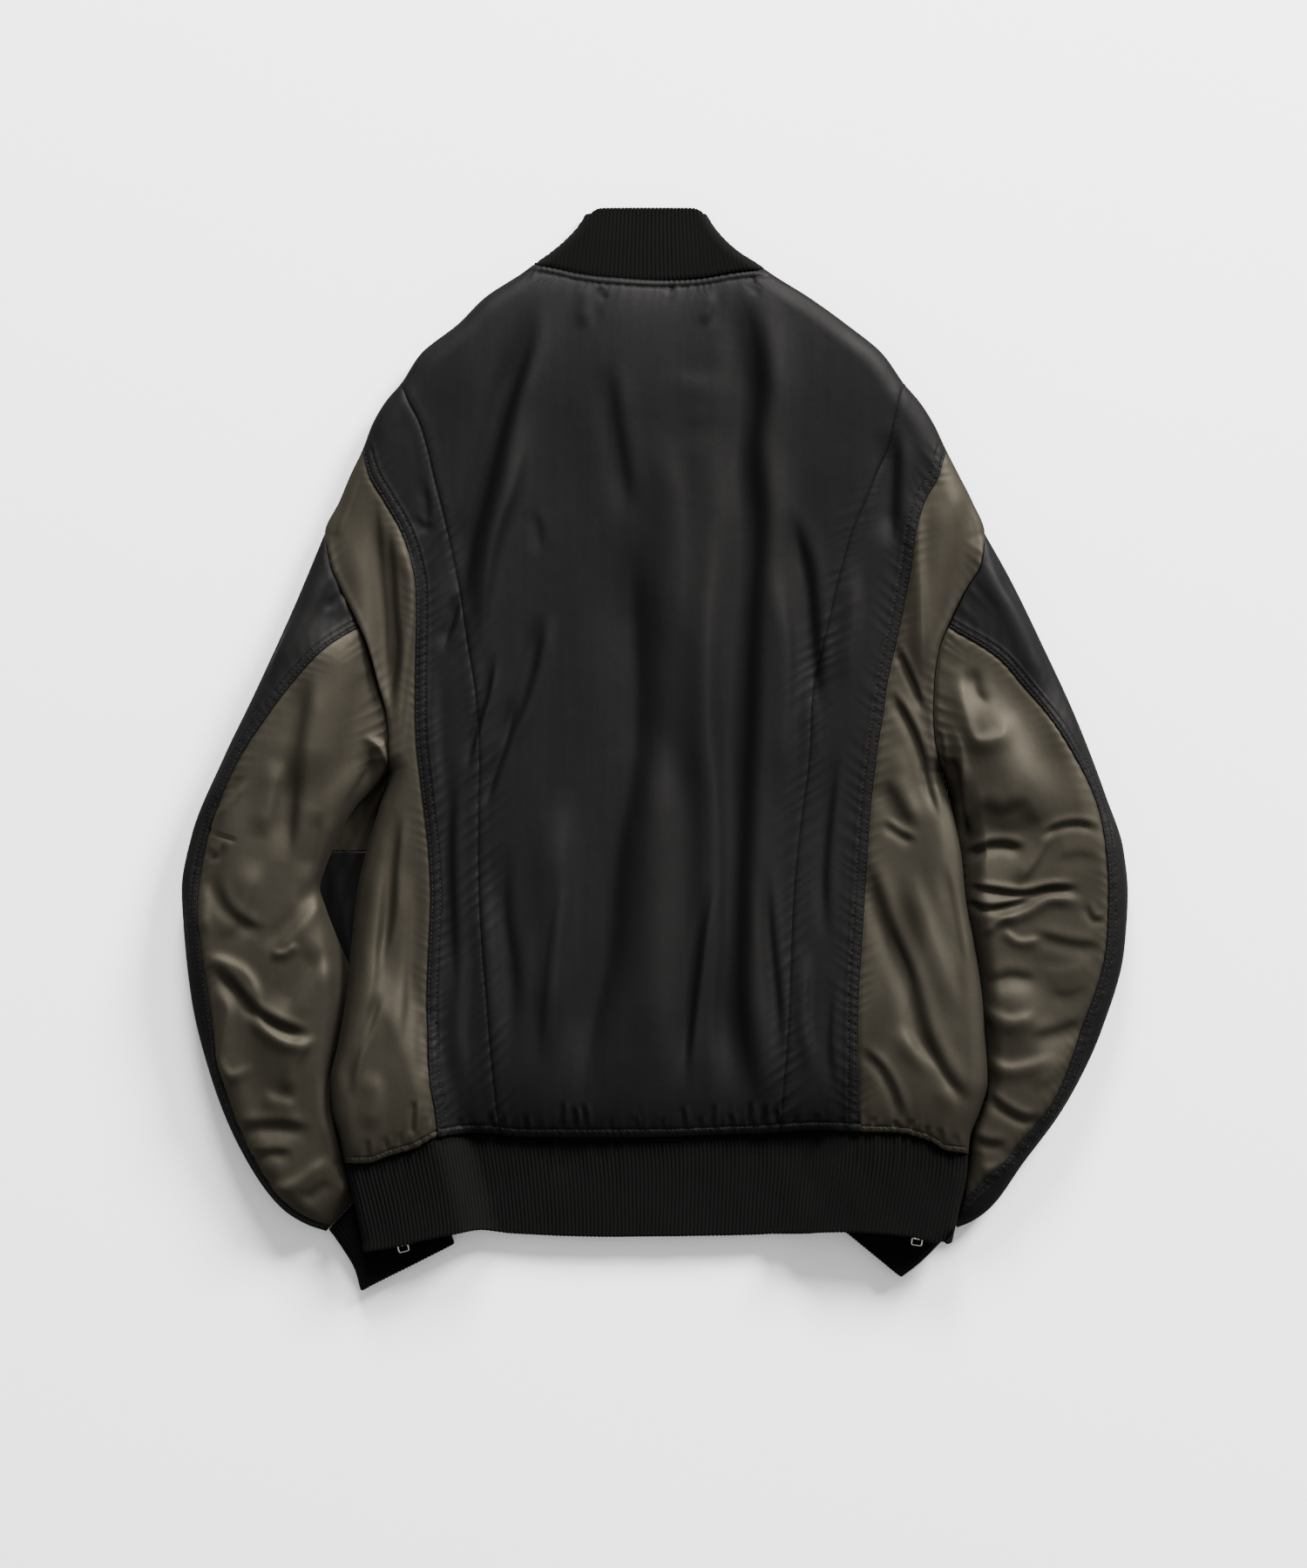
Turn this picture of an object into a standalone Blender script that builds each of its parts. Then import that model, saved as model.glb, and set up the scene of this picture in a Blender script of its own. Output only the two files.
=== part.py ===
"""Padded bomber jacket lying face down on a flat surface, back upwards.

All lengths are millimetres in the tables and metres in the finished meshes.
X runs across the jacket, +Y runs from the hem to the collar, +Z is up.
The origin is on the resting surface under the middle of the outline.

Every cloth piece is a wall between an outer and an inner face.  The faces
come from level functions: a top level, an under level, and a half-round
profile that brings both together at the folds of the outline.
"""
import bpy
import bmesh
import math

# ------------------------------------------------------------------ sizes --
WALL = 3.2          # shell, wadding and lining together
RIB = 3.2           # knitted rib, folded double
GAP = 0.3           # clearance at a seam
ROLL = 0.25         # a sewn edge rolls in by this much on the inner face
CLEAR = 3.0         # clearance between the body and the sleeve under it
RIB_STACK = 11.8    # height of a flattened rib tube
BODY_STACK = 27.0   # height of the flattened body
ARM_STACK = 36.0    # height of a sleeve half way down
FOLD_SHARE = 0.45   # height of the fold line in the stack
FOLD_REACH = 0.62   # how far the rounding reaches in, in stack heights
HEM_Y = -275.9      # seam between body and hem rib, at the middle
NECK_Y = 334.2      # seam between body and collar rib, at the middle
HEM_SOFT = 30.0     # distance over which the body swells above the hem
NECK_SOFT = 52.0    # and below the neck
UNDERARM_Y = -15.5
TIP_Y = 153.8       # shoulder end of the armhole
TAB = 3.0           # half width of the zip chain's slot

# ------------------------------------------------ outline and panel seams --
# y, left edge, left colour seam, left back seam, right back seam,
# right colour seam, right edge.  Between UNDERARM_Y and TIP_Y the edge is
# the armhole, above it the shoulder fold, below it the side fold.
BODY = (
    (-351.0, -207.5, -154.0, -111.0, 89.0, 144.0, 211.5),
    (-330.0, -212.0, -154.0, -111.0, 89.0, 144.0, 216.0),
    (-302.0, -219.0, -154.0, -111.0, 89.0, 144.0, 222.0),
    (-275.9, -224.0, -154.0, -110.7, 89.6, 144.2, 224.0),
    (-257.3, -229.1, -155.8, -112.7, 90.4, 144.2, 230.9),
    (-235.6, -230.3, -159.7, -115.0, 91.9, 144.2, 236.5),
    (-210.8, -225.4, -161.2, -117.3, 94.1, 144.2, 235.3),
    (-179.8, -220.1, -161.9, -119.6, 95.9, 144.7, 233.1),
    (-142.6, -216.4, -160.7, -122.7, 97.1, 146.8, 227.8),
    (-105.4, -212.7, -159.2, -124.9, 98.7, 149.3, 221.0),
    (-74.4, -206.2, -160.5, -125.5, 101.4, 151.1, 217.9),
    (-43.4, -196.8, -163.9, -125.2, 105.1, 153.2, 211.7),
    (-15.5, -189.4, -167.3, -124.5, 108.8, 156.3, 204.3),
    (6.2, -189.4, -169.5, -124.9, 110.6, 159.0, 199.3),
    (24.8, -191.0, -170.2, -125.8, 111.1, 162.3, 198.1),
    (46.5, -196.8, -170.1, -128.4, 113.2, 165.1, 198.7),
    (71.3, -203.4, -169.7, -132.5, 118.7, 170.4, 202.4),
    (91.8, -212.3, -169.3, -135.6, 124.0, 174.9, 211.1),
    (114.1, -223.5, -169.6, -139.0, 128.7, 179.2, 222.0),
    (131.4, -230.9, -172.4, -142.3, 133.4, 182.3, 232.0),
    (153.8, -235.3, -179.7, -147.2, 140.0, 185.4, 235.3),
    (176.7, -222.9, -192.5, -152.8, 149.9, 192.1, 226.5),
    (195.3, -216.7, -203.4, -157.6, 157.5, 202.5, 217.1),
    (213.0, -208.6, -208.6, -161.7, 165.4, 208.0, 208.0),
    (232.5, -201.1, -201.1, -167.9, 169.5, 198.7, 198.7),
    (248.0, -191.9, -191.9, -176.0, 174.0, 188.7, 188.7),
    (260.4, -181.3, -181.3, -181.3, 178.0, 178.0, 178.0),
    (282.1, -166.9, -166.9, -166.9, 162.5, 162.5, 162.5),
    (303.8, -139.8, -139.8, -139.8, 136.0, 136.0, 136.0),
    (322.4, -121.3, -121.3, -121.3, 110.3, 110.3, 110.3),
    (339.8, -95.0, -95.0, -95.0, 83.0, 83.0, 83.0),
    (346.0, -87.1, -87.1, -87.1, 77.0, 77.0, 77.0),
    (362.0, -70.5, -70.5, -70.5, 62.0, 62.0, 62.0),
    (378.0, -55.0, -55.0, -55.0, 46.5, 46.5, 46.5),
    (386.3, -46.0, -46.0, -46.0, 35.0, 35.0, 35.0),
)
Y_, EDGE_L, OLIVE_L, SEAM_L, SEAM_R, OLIVE_R, EDGE_R = range(7)

# How far the hem seam, the hem's lower edge and the neck seam stray from
# straight, by x.
HEM_DIP = ((-224, -18.6), (-204, -18.6), (-188, -13.6), (-171, -8.7),
           (-154, -0.5), (-124, 1.2), (-94, -1.2), (15, -1.2), (63, 0.6),
           (111, 3.7), (170, 2.5), (194, -3.1), (207, -10.5), (224, -12.4))
EDGE_DIP = ((-206, -9.3), (-184, -6.2), (-164, -1.2), (-144, 2.5),
            (-124, 5.6), (-104, 2.5), (-32, 0.0), (63, 1.2), (134, 4.3),
            (181, 1.2), (196, -2.5), (212, -3.7))
NECK_DIP = ((-87, 12.0), (-69, 8.7), (-57, 5.6), (-32, 1.8), (0, 0.0),
            (30, 1.8), (61, 6.8), (82, 9.0))
HEM_EDGE_Y = -347.8
COLLAR_TOP_Y = 386.3

# Height that the body's underside is lifted by the sleeve and cuff below
# it: y, lift at the left side, its width, lift at the right side, width.
LIFT = (
    (-356.0, 15.2, 70.0, 15.2, 100.0),
    (-340.0, 15.2, 68.0, 15.2, 96.0),
    (-300.0, 16.5, 66.0, 16.5, 86.0),
    (-275.9, 17.5, 63.0, 17.5, 78.0),
    (-241.8, 17.0, 58.0, 17.5, 76.0),
    (-204.6, 15.5, 40.0, 17.5, 62.0),
    (-179.8, 13.0, 24.0, 17.0, 52.0),
    (-154.0, 8.0, 12.0, 16.5, 38.0),
    (-125.0, 3.0, 4.0, 15.0, 26.0),
    (-105.0, 0.0, 0.0, 14.0, 20.0),
    (-74.4, 0.0, 0.0, 11.5, 12.0),
    (-45.0, 0.0, 0.0, 6.0, 4.0),
    (-25.0, 0.0, 0.0, 0.0, 0.0),
)
LIFT_RAMP = 32.0    # width over which the lift dies away

# ------------------------------------------------------------------ sleeves
# one row per section, shoulder to cuff: outer x, outer y, inner x, inner y,
# share of the width that the outer panel takes, height of the stack
ARM_L = (
    (-235.3, 153.8, -189.4, -15.5, 0.395, 27.0),
    (-257.0, 101.7, -199.3, -26.7, 0.280, 30.5),
    (-284.9, 40.3, -215.4, -44.6, 0.170, 34.0),
    (-308.4, -8.7, -225.4, -63.2, 0.111, 36.0),
    (-330.1, -62.0, -235.3, -86.8, 0.103, 36.0),
    (-337.0, -99.8, -238.4, -99.2, 0.115, 36.0),
    (-335.7, -125.2, -234.7, -111.6, 0.115, 36.0),
    (-330.1, -177.3, -222.9, -142.6, 0.111, 36.0),
    (-316.5, -232.5, -210.5, -170.5, 0.060, 35.0),
    (-294.8, -285.8, -193.1, -204.6, 0.040, 33.0),
    (-263.8, -329.2, -179.5, -241.8, 0.040, 28.0),
    (-247.0, -339.5, -173.0, -258.0, 0.045, 23.0),
    (-234.7, -344.1, -169.6, -272.8, 0.055, 11.8),
)
ARM_R = (
    (235.3, 153.8, 204.3, -15.5, 0.395, 27.0),
    (253.3, 121.5, 209.5, -27.9, 0.330, 29.5),
    (276.8, 73.2, 213.5, -42.2, 0.240, 32.0),
    (300.4, 21.7, 215.5, -57.0, 0.136, 35.0),
    (321.5, -33.5, 214.5, -73.2, 0.080, 36.0),
    (333.9, -71.3, 212.5, -89.3, 0.115, 36.0),
    (337.0, -102.3, 209.9, -105.4, 0.119, 36.0),
    (334.5, -142.6, 207.4, -125.2, 0.111, 36.0),
    (319.0, -198.4, 199.9, -153.8, 0.113, 36.0),
    (292.9, -253.0, 188.8, -184.8, 0.085, 34.0),
    (262.6, -295.1, 176.4, -217.0, 0.104, 31.0),
    (238.4, -328.0, 164.0, -249.2, 0.178, 26.0),
    (226.0, -337.0, 158.5, -262.0, 0.180, 22.0),
    (216.1, -341.6, 154.1, -272.8, 0.180, 11.8),
)
# cuffs: outer x, outer y, inner x, inner y, from sleeve to open end
CUFF_L = (
    (-232.4, -342.6, -171.2, -275.4),
    (-222.5, -357.0, -162.0, -302.0),
    (-214.0, -371.5, -152.0, -328.5),
    (-209.9, -386.3, -142.9, -353.4),
)
CUFF_R = (
    (214.6, -340.7, 155.4, -275.3),
    (202.5, -353.5, 143.5, -294.5),
    (190.0, -366.0, 130.5, -312.5),
    (175.8, -377.0, 118.1, -329.8),
)

# beside the left side fold, the body's own side shows between fold and
# sleeve: y of its rows, those of the underarm first, then of the front
UNDERARM_ROWS = (-26.0, -38.0, -50.0, -62.0, -72.9)
SIDE_ROWS_BELOW = (-73.3, -84.0, -96.0, -108.0, -120.0, -134.0, -147.0)
SIDE_WALL = 1.5     # shell alone, without its wadding
UNDER_BODY = 3.2    # tucked in this far under the body
UNDER_SLEEVE = 1.2  # and this far under the sleeve

# rows of the mesh between the hem seam and the neck seam
ROWS = (HEM_Y, -256.0, -232.0, -205.0, -178.0, -152.0, -125.0, -100.0,
        -74.0, -45.0, UNDERARM_Y, -8.0, 5.0, 30.0, 60.0, 87.0, 118.0,
        138.0, 149.0, TIP_Y, 172.0, 192.0, 213.0, 237.0, 260.4, 285.0,
        310.0, NECK_Y)
ARM_ROWS = [y for y in ROWS if UNDERARM_Y <= y <= TIP_Y][::-1]


# ------------------------------------------------------------ small tools --
def along(table, key, col):
    """Value of a column at a key, straight between the table's rows."""
    lo, hi = table[0], table[-1]
    if key <= lo[0]:
        return lo[col]
    if key >= hi[0]:
        return hi[col]
    for a, b in zip(table, table[1:]):
        if a[0] <= key <= b[0]:
            k = (key - a[0]) / (b[0] - a[0])
            return a[col] + (b[col] - a[col]) * k


def soft(k):
    k = min(1.0, max(0.0, k))
    return k * k * (3.0 - 2.0 * k)


def round_up(k):
    """Quarter circle from 0 to 1."""
    k = min(1.0, max(0.0, k))
    return math.sqrt(max(0.0, 1.0 - (1.0 - k) ** 2))


def unit(v):
    n = math.sqrt(sum(c * c for c in v)) or 1.0
    return tuple(c / n for c in v)


def nearest(lines, x, y):
    """Distance to the nearest edge line and the direction away from it.

    The garment lies on the left-hand side of every line."""
    best = None
    for line in lines:
        for (ax, ay), (bx, by) in zip(line, line[1:]):
            dx, dy = bx - ax, by - ay
            size = dx * dx + dy * dy
            k = min(1.0, max(0.0, ((x - ax) * dx + (y - ay) * dy) / size))
            px, py = x - ax - k * dx, y - ay - k * dy
            d = math.hypot(px, py)
            if best is None or d < best[0] - 1e-9:
                n = math.sqrt(size)
                away = ((px / d, py / d) if d > 0.05 else (-dy / n, dx / n))
                best = (d, away)
    return best


# ------------------------------------------------------ positions in plan --
def row_y(y0, x):
    """Rows bend with the hem seam and the neck seam near both ends."""
    low = min(1.0, max(0.0, (-200.0 - y0) / (-200.0 - HEM_Y)))
    high = min(1.0, max(0.0, (y0 - 260.4) / (NECK_Y - 260.4)))
    return y0 + low * along(HEM_DIP, x, 1) + high * along(NECK_DIP, x, 1)


def edge_point(y0, col):
    """Where a row meets a line of the panel table."""
    y = y0
    for _ in range(6):
        x = along(BODY, y, col)
        y = row_y(y0, x)
    return along(BODY, y, col), y


SIDE_ROWS = [r for r in BODY if r[0] <= UNDERARM_Y]
TOP_ROWS = [r for r in BODY if r[0] >= TIP_Y]
# the side fold follows the bent rows, so that mesh and line agree
SIDE_L = [(r[EDGE_L], r[Y_]) for r in SIDE_ROWS]
SIDE_R = [(r[EDGE_R], r[Y_]) for r in SIDE_ROWS]
OUTER_L = ([(r[EDGE_L], r[Y_]) for r in TOP_ROWS[::-1]]
           + [(r[0], r[1]) for r in ARM_L[1:]] + [c[:2] for c in CUFF_L[1:]])
OUTER_R = ([(r[EDGE_R], r[Y_]) for r in TOP_ROWS[::-1]]
           + [(r[0], r[1]) for r in ARM_R[1:]] + [c[:2] for c in CUFF_R[1:]])
INNER_L = [(r[2], r[3]) for r in ARM_L] + [c[2:4] for c in CUFF_L[1:]]
INNER_R = [(r[2], r[3]) for r in ARM_R] + [c[2:4] for c in CUFF_R[1:]]
BODY_LINES = (OUTER_L, SIDE_L[::-1], OUTER_R[::-1], SIDE_R)
LEFT_ARM_LINES = (OUTER_L, INNER_L[::-1])
RIGHT_ARM_LINES = (OUTER_R[::-1], INNER_R)


# ---------------------------------------------------------- level functions
def lift(x, y):
    """Height of the body's underside above the resting surface."""
    out = 0.0
    for edge, col, sign in ((EDGE_L, 1, 1.0), (EDGE_R, 3, -1.0)):
        height = along(LIFT, y, col)
        reach = along(LIFT, y, col + 1)
        d = (x - along(BODY, y, edge)) * sign
        out = max(out, height * (1.0 - soft((d - reach) / LIFT_RAMP)))
    return out


def body_stack(x, y):
    """Height of the flattened body above its own underside."""
    hem = y - (HEM_Y + along(HEM_DIP, x, 1))
    neck = NECK_Y + along(NECK_DIP, x, 1) - y
    swell = round_up(hem / HEM_SOFT) * round_up(neck / NECK_SOFT)
    full = BODY_STACK - 0.25 * lift(x, y)
    return RIB_STACK + (full - RIB_STACK) * swell


def body_levels(x, y):
    low = lift(x, y)
    return low, low + body_stack(x, y)


def room_below(x, y):
    """Height free for a sleeve at (x, y): level under the body, then
    rising away from the body's side fold."""
    d, _ = nearest((SIDE_L[::-1], SIDE_R), x, y)
    if along(BODY, y, EDGE_L) < x < along(BODY, y, EDGE_R):
        d = -d
    return lift(x, y) + 0.9 * max(0.0, d - 1.0)


def arm_levels(stack):
    """Levels inside a sleeve; the body above presses it down."""
    def levels(x, y):
        top = stack
        if y < UNDERARM_Y - 3.0:
            top = min(top, max(RIB_STACK, room_below(x, y) - CLEAR))
        return 0.0, top
    return levels


def rib_levels(x, y):
    return 0.0, RIB_STACK


def wall_point(x, y, levels, lines, upper, thick=WALL, split=0.5 * GAP):
    """Outer and inner point of a wall over (x, y).

    split keeps two pieces apart where they meet on the fold line."""
    low, top = levels(x, y)
    stack = top - low
    fold = low + FOLD_SHARE * stack
    reach = FOLD_REACH * stack
    d, away = nearest(lines, x, y)
    q = min(1.0, d / reach)
    c = 1.0 - q
    s = math.sqrt(max(0.0, 1.0 - c * c))
    e = 0.5
    gx = [levels(x + e, y), levels(x - e, y)]
    gy = [levels(x, y + e), levels(x, y - e)]
    if upper:
        rise = top - fold
        z = fold + rise * s + split * (1.0 - s)
        k = rise * c / reach
        sx = (gx[0][1] - gx[1][1]) / (2 * e)
        sy = (gy[0][1] - gy[1][1]) / (2 * e)
        n = unit((-away[0] * k - sx * s, -away[1] * k - sy * s, s))
    else:
        rise = fold - low
        z = fold - rise * s - split * (1.0 - s)
        k = rise * c / reach
        sx = (gx[0][0] - gx[1][0]) / (2 * e)
        sy = (gy[0][0] - gy[1][0]) / (2 * e)
        n = unit((-away[0] * k + sx * s, -away[1] * k + sy * s, -s))
    return (x, y, z), (x - thick * n[0], y - thick * n[1], z - thick * n[2])


# ------------------------------------------------------------ mesh making --
def material(name, colour, rough, metal=0.0):
    m = bpy.data.materials.new(name)
    m.use_nodes = True
    b = m.node_tree.nodes["Principled BSDF"]
    b.inputs["Base Color"].default_value = (*colour, 1.0)
    b.inputs["Roughness"].default_value = rough
    b.inputs["Metallic"].default_value = metal
    return m


BLACK = ((0.019, 0.018, 0.017), 0.55)
OLIVE = ((0.122, 0.102, 0.072), 0.5)
KNIT = ((0.010, 0.010, 0.009), 0.9)
METAL = ((0.62, 0.62, 0.6), 0.3, 1.0)


def add_object(name, points, faces, look, smooth=True, origin=(0, 0, 0)):
    mesh = bpy.data.meshes.new(name)
    mesh.from_pydata([tuple((c - o) * 0.001 for c, o in zip(p, origin))
                      for p in points], [], faces)
    work = bmesh.new()
    work.from_mesh(mesh)
    bmesh.ops.recalc_face_normals(work, faces=work.faces)
    work.to_mesh(mesh)
    work.free()
    if smooth:
        mesh.shade_smooth()
        mesh.set_sharp_from_angle(angle=math.radians(50))
    obj = bpy.data.objects.new(name, mesh)
    obj.location = tuple(o * 0.001 for o in origin)
    mesh.materials.append(material(name + "_look", *look))
    bpy.context.scene.collection.objects.link(obj)
    return obj


def wall(name, grid, look, closed=False):
    """Closed wall from a grid of (outer, inner) point pairs.

    grid[i][j]: i along the piece, j across it; seen from outside, j runs
    to the right when i runs up.  Points that coincide are shared, so a
    row may shrink to one point."""
    points, index = [], {}

    def number(p):
        key = tuple(round(c * 200.0) for c in p)
        if key not in index:
            index[key] = len(points)
            points.append(p)
        return index[key]

    ids = [[(number(o), number(i)) for o, i in row] for row in grid]
    rows, cols = len(ids), len(ids[0])
    span = cols if closed else cols - 1
    faces = []

    def face(loop):
        slim = [v for k, v in enumerate(loop) if v != loop[k - 1]]
        if len(set(slim)) < 3:
            return
        faces.append(slim)

    edges = {}
    cells = []
    for i in range(rows - 1):
        for j in range(span):
            k = (j + 1) % cols
            cells.append(((i, j), (i, k), (i + 1, k), (i + 1, j)))
    for cell in cells:
        outer = [ids[i][j][0] for i, j in cell]
        inner = [ids[i][j][1] for i, j in cell][::-1]
        face(outer)
        face(inner)
        for a, b in zip(cell, cell[1:] + cell[:1]):
            oa, ob = ids[a[0]][a[1]], ids[b[0]][b[1]]
            if oa != ob:
                edges[(oa, ob)] = edges.get((oa, ob), 0) + 1
    for a, b in edges:
        if (b, a) in edges:
            continue
        # neighbours at a seam split their edge faces along the same
        # diagonal, so that the clearance stays even
        if (points[a[0]][1], points[a[0]][0]) > (points[b[0]][1],
                                                  points[b[0]][0]):
            face([b[0], a[0], b[1]])
            face([a[0], a[1], b[1]])
        else:
            face([b[0], a[0], a[1]])
            face([b[0], a[1], b[1]])
    return add_object(name, points, faces, look)


# ------------------------------------------------------------ body panels --
FOLD_STEPS = ((0.0, 0.0), (2.0, 0.08), (7.0, 0.25), (16.0, 0.5))


def from_fold(more):
    """Columns of a panel that starts at a fold: close together first."""
    def shares(width, y0, side):
        out = [min(mm / width, share) for mm, share in FOLD_STEPS]
        last = out[-1]
        return out + [last + (1.0 - last) * (k + 1.0) / more
                      for k in range(more)]
    return shares


def over_sleeve(width, y0, side):
    """Columns of a front: fold, lifted strip, ramp and flat middle."""
    reach = max(22.0, along(LIFT, y0, 2 if side < 0 else 4))
    offsets = [0.0, 2.0, 7.0, 16.0, reach, reach + 0.3 * LIFT_RAMP,
               reach + 0.7 * LIFT_RAMP, reach + LIFT_RAMP]
    scale = min(1.0, 0.8 * width / offsets[-1])
    return [o * scale / width for o in offsets] + [1.0]


def even(*shares):
    return lambda width, y0, side: shares


def line_x(y0, line):
    """x where a row meets a line: a column of the table, or a fixed x."""
    return edge_point(y0, line)[0] if isinstance(line, int) else line


def panel(left, right, shares, rows, upper=True, seams=(True, True),
          fold=-1):
    """Grid of a body panel between two lines of the table."""
    grid = []
    for y0 in rows:
        a, b = line_x(y0, left), line_x(y0, right)
        if b - a < 1.0:
            a = b = 0.5 * (a + b)
        else:
            a += 0.5 * GAP if seams[0] else 0.0
            b -= 0.5 * GAP if seams[1] else 0.0
        steps = shares(max(b - a, 0.01), y0, fold)
        if fold > 0:
            steps = [1.0 - s for s in steps[::-1]]
        grid.append([])
        for n, s in enumerate(steps):
            x = a + (b - a) * s
            outer, inner = wall_point(x, row_y(y0, x), body_levels,
                                      BODY_LINES, upper)
            roll = (ROLL if n == 0 and seams[0] else
                    -ROLL if n == len(steps) - 1 and seams[1] else 0.0)
            if b > a:
                inner = (inner[0] + roll, inner[1], inner[2])
            grid[-1].append((outer, inner))
    return grid


ALL = [HEM_Y + 0.5 * GAP] + list(ROWS[1:-1]) + [NECK_Y - 0.5 * GAP]
TO_OLIVE_TIP = [y for y in ALL if y <= 213.1]
TO_BACK_TIP = [y for y in ALL if y <= 260.5]


def clear_scene():
    for obj in list(bpy.data.objects):
        bpy.data.objects.remove(obj, do_unlink=True)


def make_body():
    grids = {
        "side_panel_L": panel(EDGE_L, OLIVE_L, from_fold(2), TO_OLIVE_TIP,
                              seams=(False, True)),
        "side_back_L": panel(OLIVE_L, SEAM_L, even(0.0, 0.12, 0.4, 1.0),
                             TO_BACK_TIP),
        "back_centre": panel(SEAM_L, SEAM_R, even(
            0.0, 0.015, 0.05, 0.13, 0.3, 0.5, 0.7, 0.87, 0.95, 0.985, 1.0),
            ALL),
        "side_back_R": panel(SEAM_R, OLIVE_R, even(0.0, 0.6, 0.88, 1.0),
                             TO_BACK_TIP),
        "side_panel_R": panel(OLIVE_R, EDGE_R, from_fold(2), TO_OLIVE_TIP,
                              seams=(True, False), fold=1),
        "front_L": panel(EDGE_L, -TAB, over_sleeve, ALL, upper=False,
                         seams=(False, False)),
        "front_R": panel(TAB, EDGE_R, over_sleeve, ALL, upper=False,
                         seams=(False, False), fold=1),
    }
    for name, grid in grids.items():
        wall(name, grid, OLIVE if "panel" in name else BLACK)
    back = ["side_panel_L", "side_back_L", "back_centre", "side_back_R",
            "side_panel_R"]
    front = ["front_L", "front_R"]
    return {
        "hem_back": seam_shares([grids[n][0] for n in back]),
        "hem_front": seam_shares([grids[n][0] for n in front]),
        "neck_back": seam_shares([grids["back_centre"][-1]]),
        "neck_front": seam_shares([grids[n][-1] for n in front]),
    }


def make_left_side():
    """The strip of the body that lies flat between side fold and sleeve."""
    fold = sorted((y, x) for x, y in INNER_L)
    for name, rows, look in (("underarm_L", UNDERARM_ROWS, OLIVE),
                             ("front_side_L", SIDE_ROWS_BELOW, BLACK)):
        grid = []
        for y in rows[::-1]:
            a = along(fold, y, 1) - UNDER_SLEEVE
            b = along(BODY, y, EDGE_L) + UNDER_BODY
            grid.append([((a + (b - a) * k, y, SIDE_WALL),
                          (a + (b - a) * k, y, 0.0))
                         for k in (0.0, 0.5, 1.0)])
        wall(name, grid, look)


def seam_shares(rows):
    """Shares across the whole width of the points on a seam, so that the
    rib has its own points opposite them."""
    xs = sorted(o[0] for row in rows for o, _ in row)
    slim = [xs[0]]
    for x in xs[1:]:
        if x - slim[-1] > 2.0 * GAP:
            slim.append(x)
    return [(x - xs[0]) / (xs[-1] - xs[0]) for x in slim]


# ------------------------------------------------------------------- ribs --
def loop_band(name, seam_y, seam_dip, end_y, end_dip, rows, back, front,
              more=()):
    """Flattened rib tube, open at the middle front where the zip runs.

    more: shares of further columns in the front, where its lower end
    climbs over the cuffs; on the seam they stay on the straight runs."""
    front = sorted(list(front) + list(more))
    grid = []
    for v in rows:
        def y_at(x):
            a = seam_y + along(seam_dip, x, 1)
            b = end_y + along(end_dip, x, 1)
            return a + (b - a) * v

        ends = []
        for col in (EDGE_L, EDGE_R):
            y = seam_y
            for _ in range(8):
                x = along(BODY, y, col)
                y = y_at(x)
            ends.append(x)
        left, right = ends
        over = [left + (right - left) * s for s in back]
        beneath = [left + (right - left) * s for s in front]
        slot = TAB + 0.5
        line = [(slot, False)]
        line += [(x, False) for x in beneath if x > slot + 2.0][:-1]
        line += [(x, True) for x in over[::-1]]
        line += [(x, False) for x in beneath if x < -slot - 2.0][1:]
        line.append((-slot, False))
        grid.append([wall_point(x, y_at(x), body_levels, BODY_LINES, upper,
                                RIB, 0.0) for x, upper in line])
        if v == rows[0]:
            added = [left + (right - left) * s for s in more]
            kept = [n for n, (x, upper) in enumerate(line)
                    if upper or x not in added]
            for n, (x, upper) in enumerate(line):
                if n not in kept:
                    a = max(k for k in kept if k < n)
                    b = min(k for k in kept if k > n)
                    share = (x - line[a][0]) / (line[b][0] - line[a][0])
                    grid[-1][n] = tuple(
                        tuple(p + (q - p) * share for p, q in zip(u, w))
                        for u, w in zip(grid[-1][a], grid[-1][b]))
    wall(name, grid, KNIT)


def make_ribs(seams):
    step = 1.3 * GAP / (HEM_Y - HEM_EDGE_Y)
    loop_band("hem_rib", HEM_Y, HEM_DIP, HEM_EDGE_Y, EDGE_DIP,
              (step, 0.34, 0.68, 1.0), seams["hem_back"],
              seams["hem_front"], (0.243, 0.688, 0.712, 0.735))
    step = 1.3 * GAP / (COLLAR_TOP_Y - NECK_Y)
    loop_band("collar_rib", NECK_Y, NECK_DIP, COLLAR_TOP_Y,
              ((-60, 0.0), (60, 0.0)), (step, 0.33, 0.67, 1.0),
              seams["neck_back"], seams["neck_front"])


def make_cuff(name, table, left):
    outer = [r[0:2] for r in table]
    inner = [r[2:4] for r in table]
    lines = ((outer, inner[::-1]) if left else (outer[::-1], inner))
    grid = []
    shares = (0.0, 0.018, 0.06, 0.22, 0.5, 0.78, 0.94, 0.982, 1.0)
    for ox, oy, ix, iy in table:
        ring = [(s, True) for s in shares] + [(s, False)
                                              for s in shares[-2:0:-1]]
        grid.append([wall_point(ox + (ix - ox) * s, oy + (iy - oy) * s,
                                rib_levels, lines, upper, RIB, 0.0)
                     for s, upper in ring])
    wall(name, grid, KNIT, closed=True)


# ---------------------------------------------------------------- sleeves --
OUTER_STEPS = (0.0, 0.08, 0.25, 0.55, 1.0)
BACK_STEPS = (0.0, 0.14, 0.28, 0.42, 0.55, 0.67, 0.78, 0.88, 0.96, 1.0)


def halfway(a, b):
    return tuple(0.5 * (p + q) for p, q in zip(a, b))


def arm_sections(table):
    """The table's rows, with one more between each two near the cuff."""
    rows = list(table[:6])
    for a, b in zip(table[5:], table[6:]):
        rows += [halfway(a, b), b]
    return rows


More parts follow.
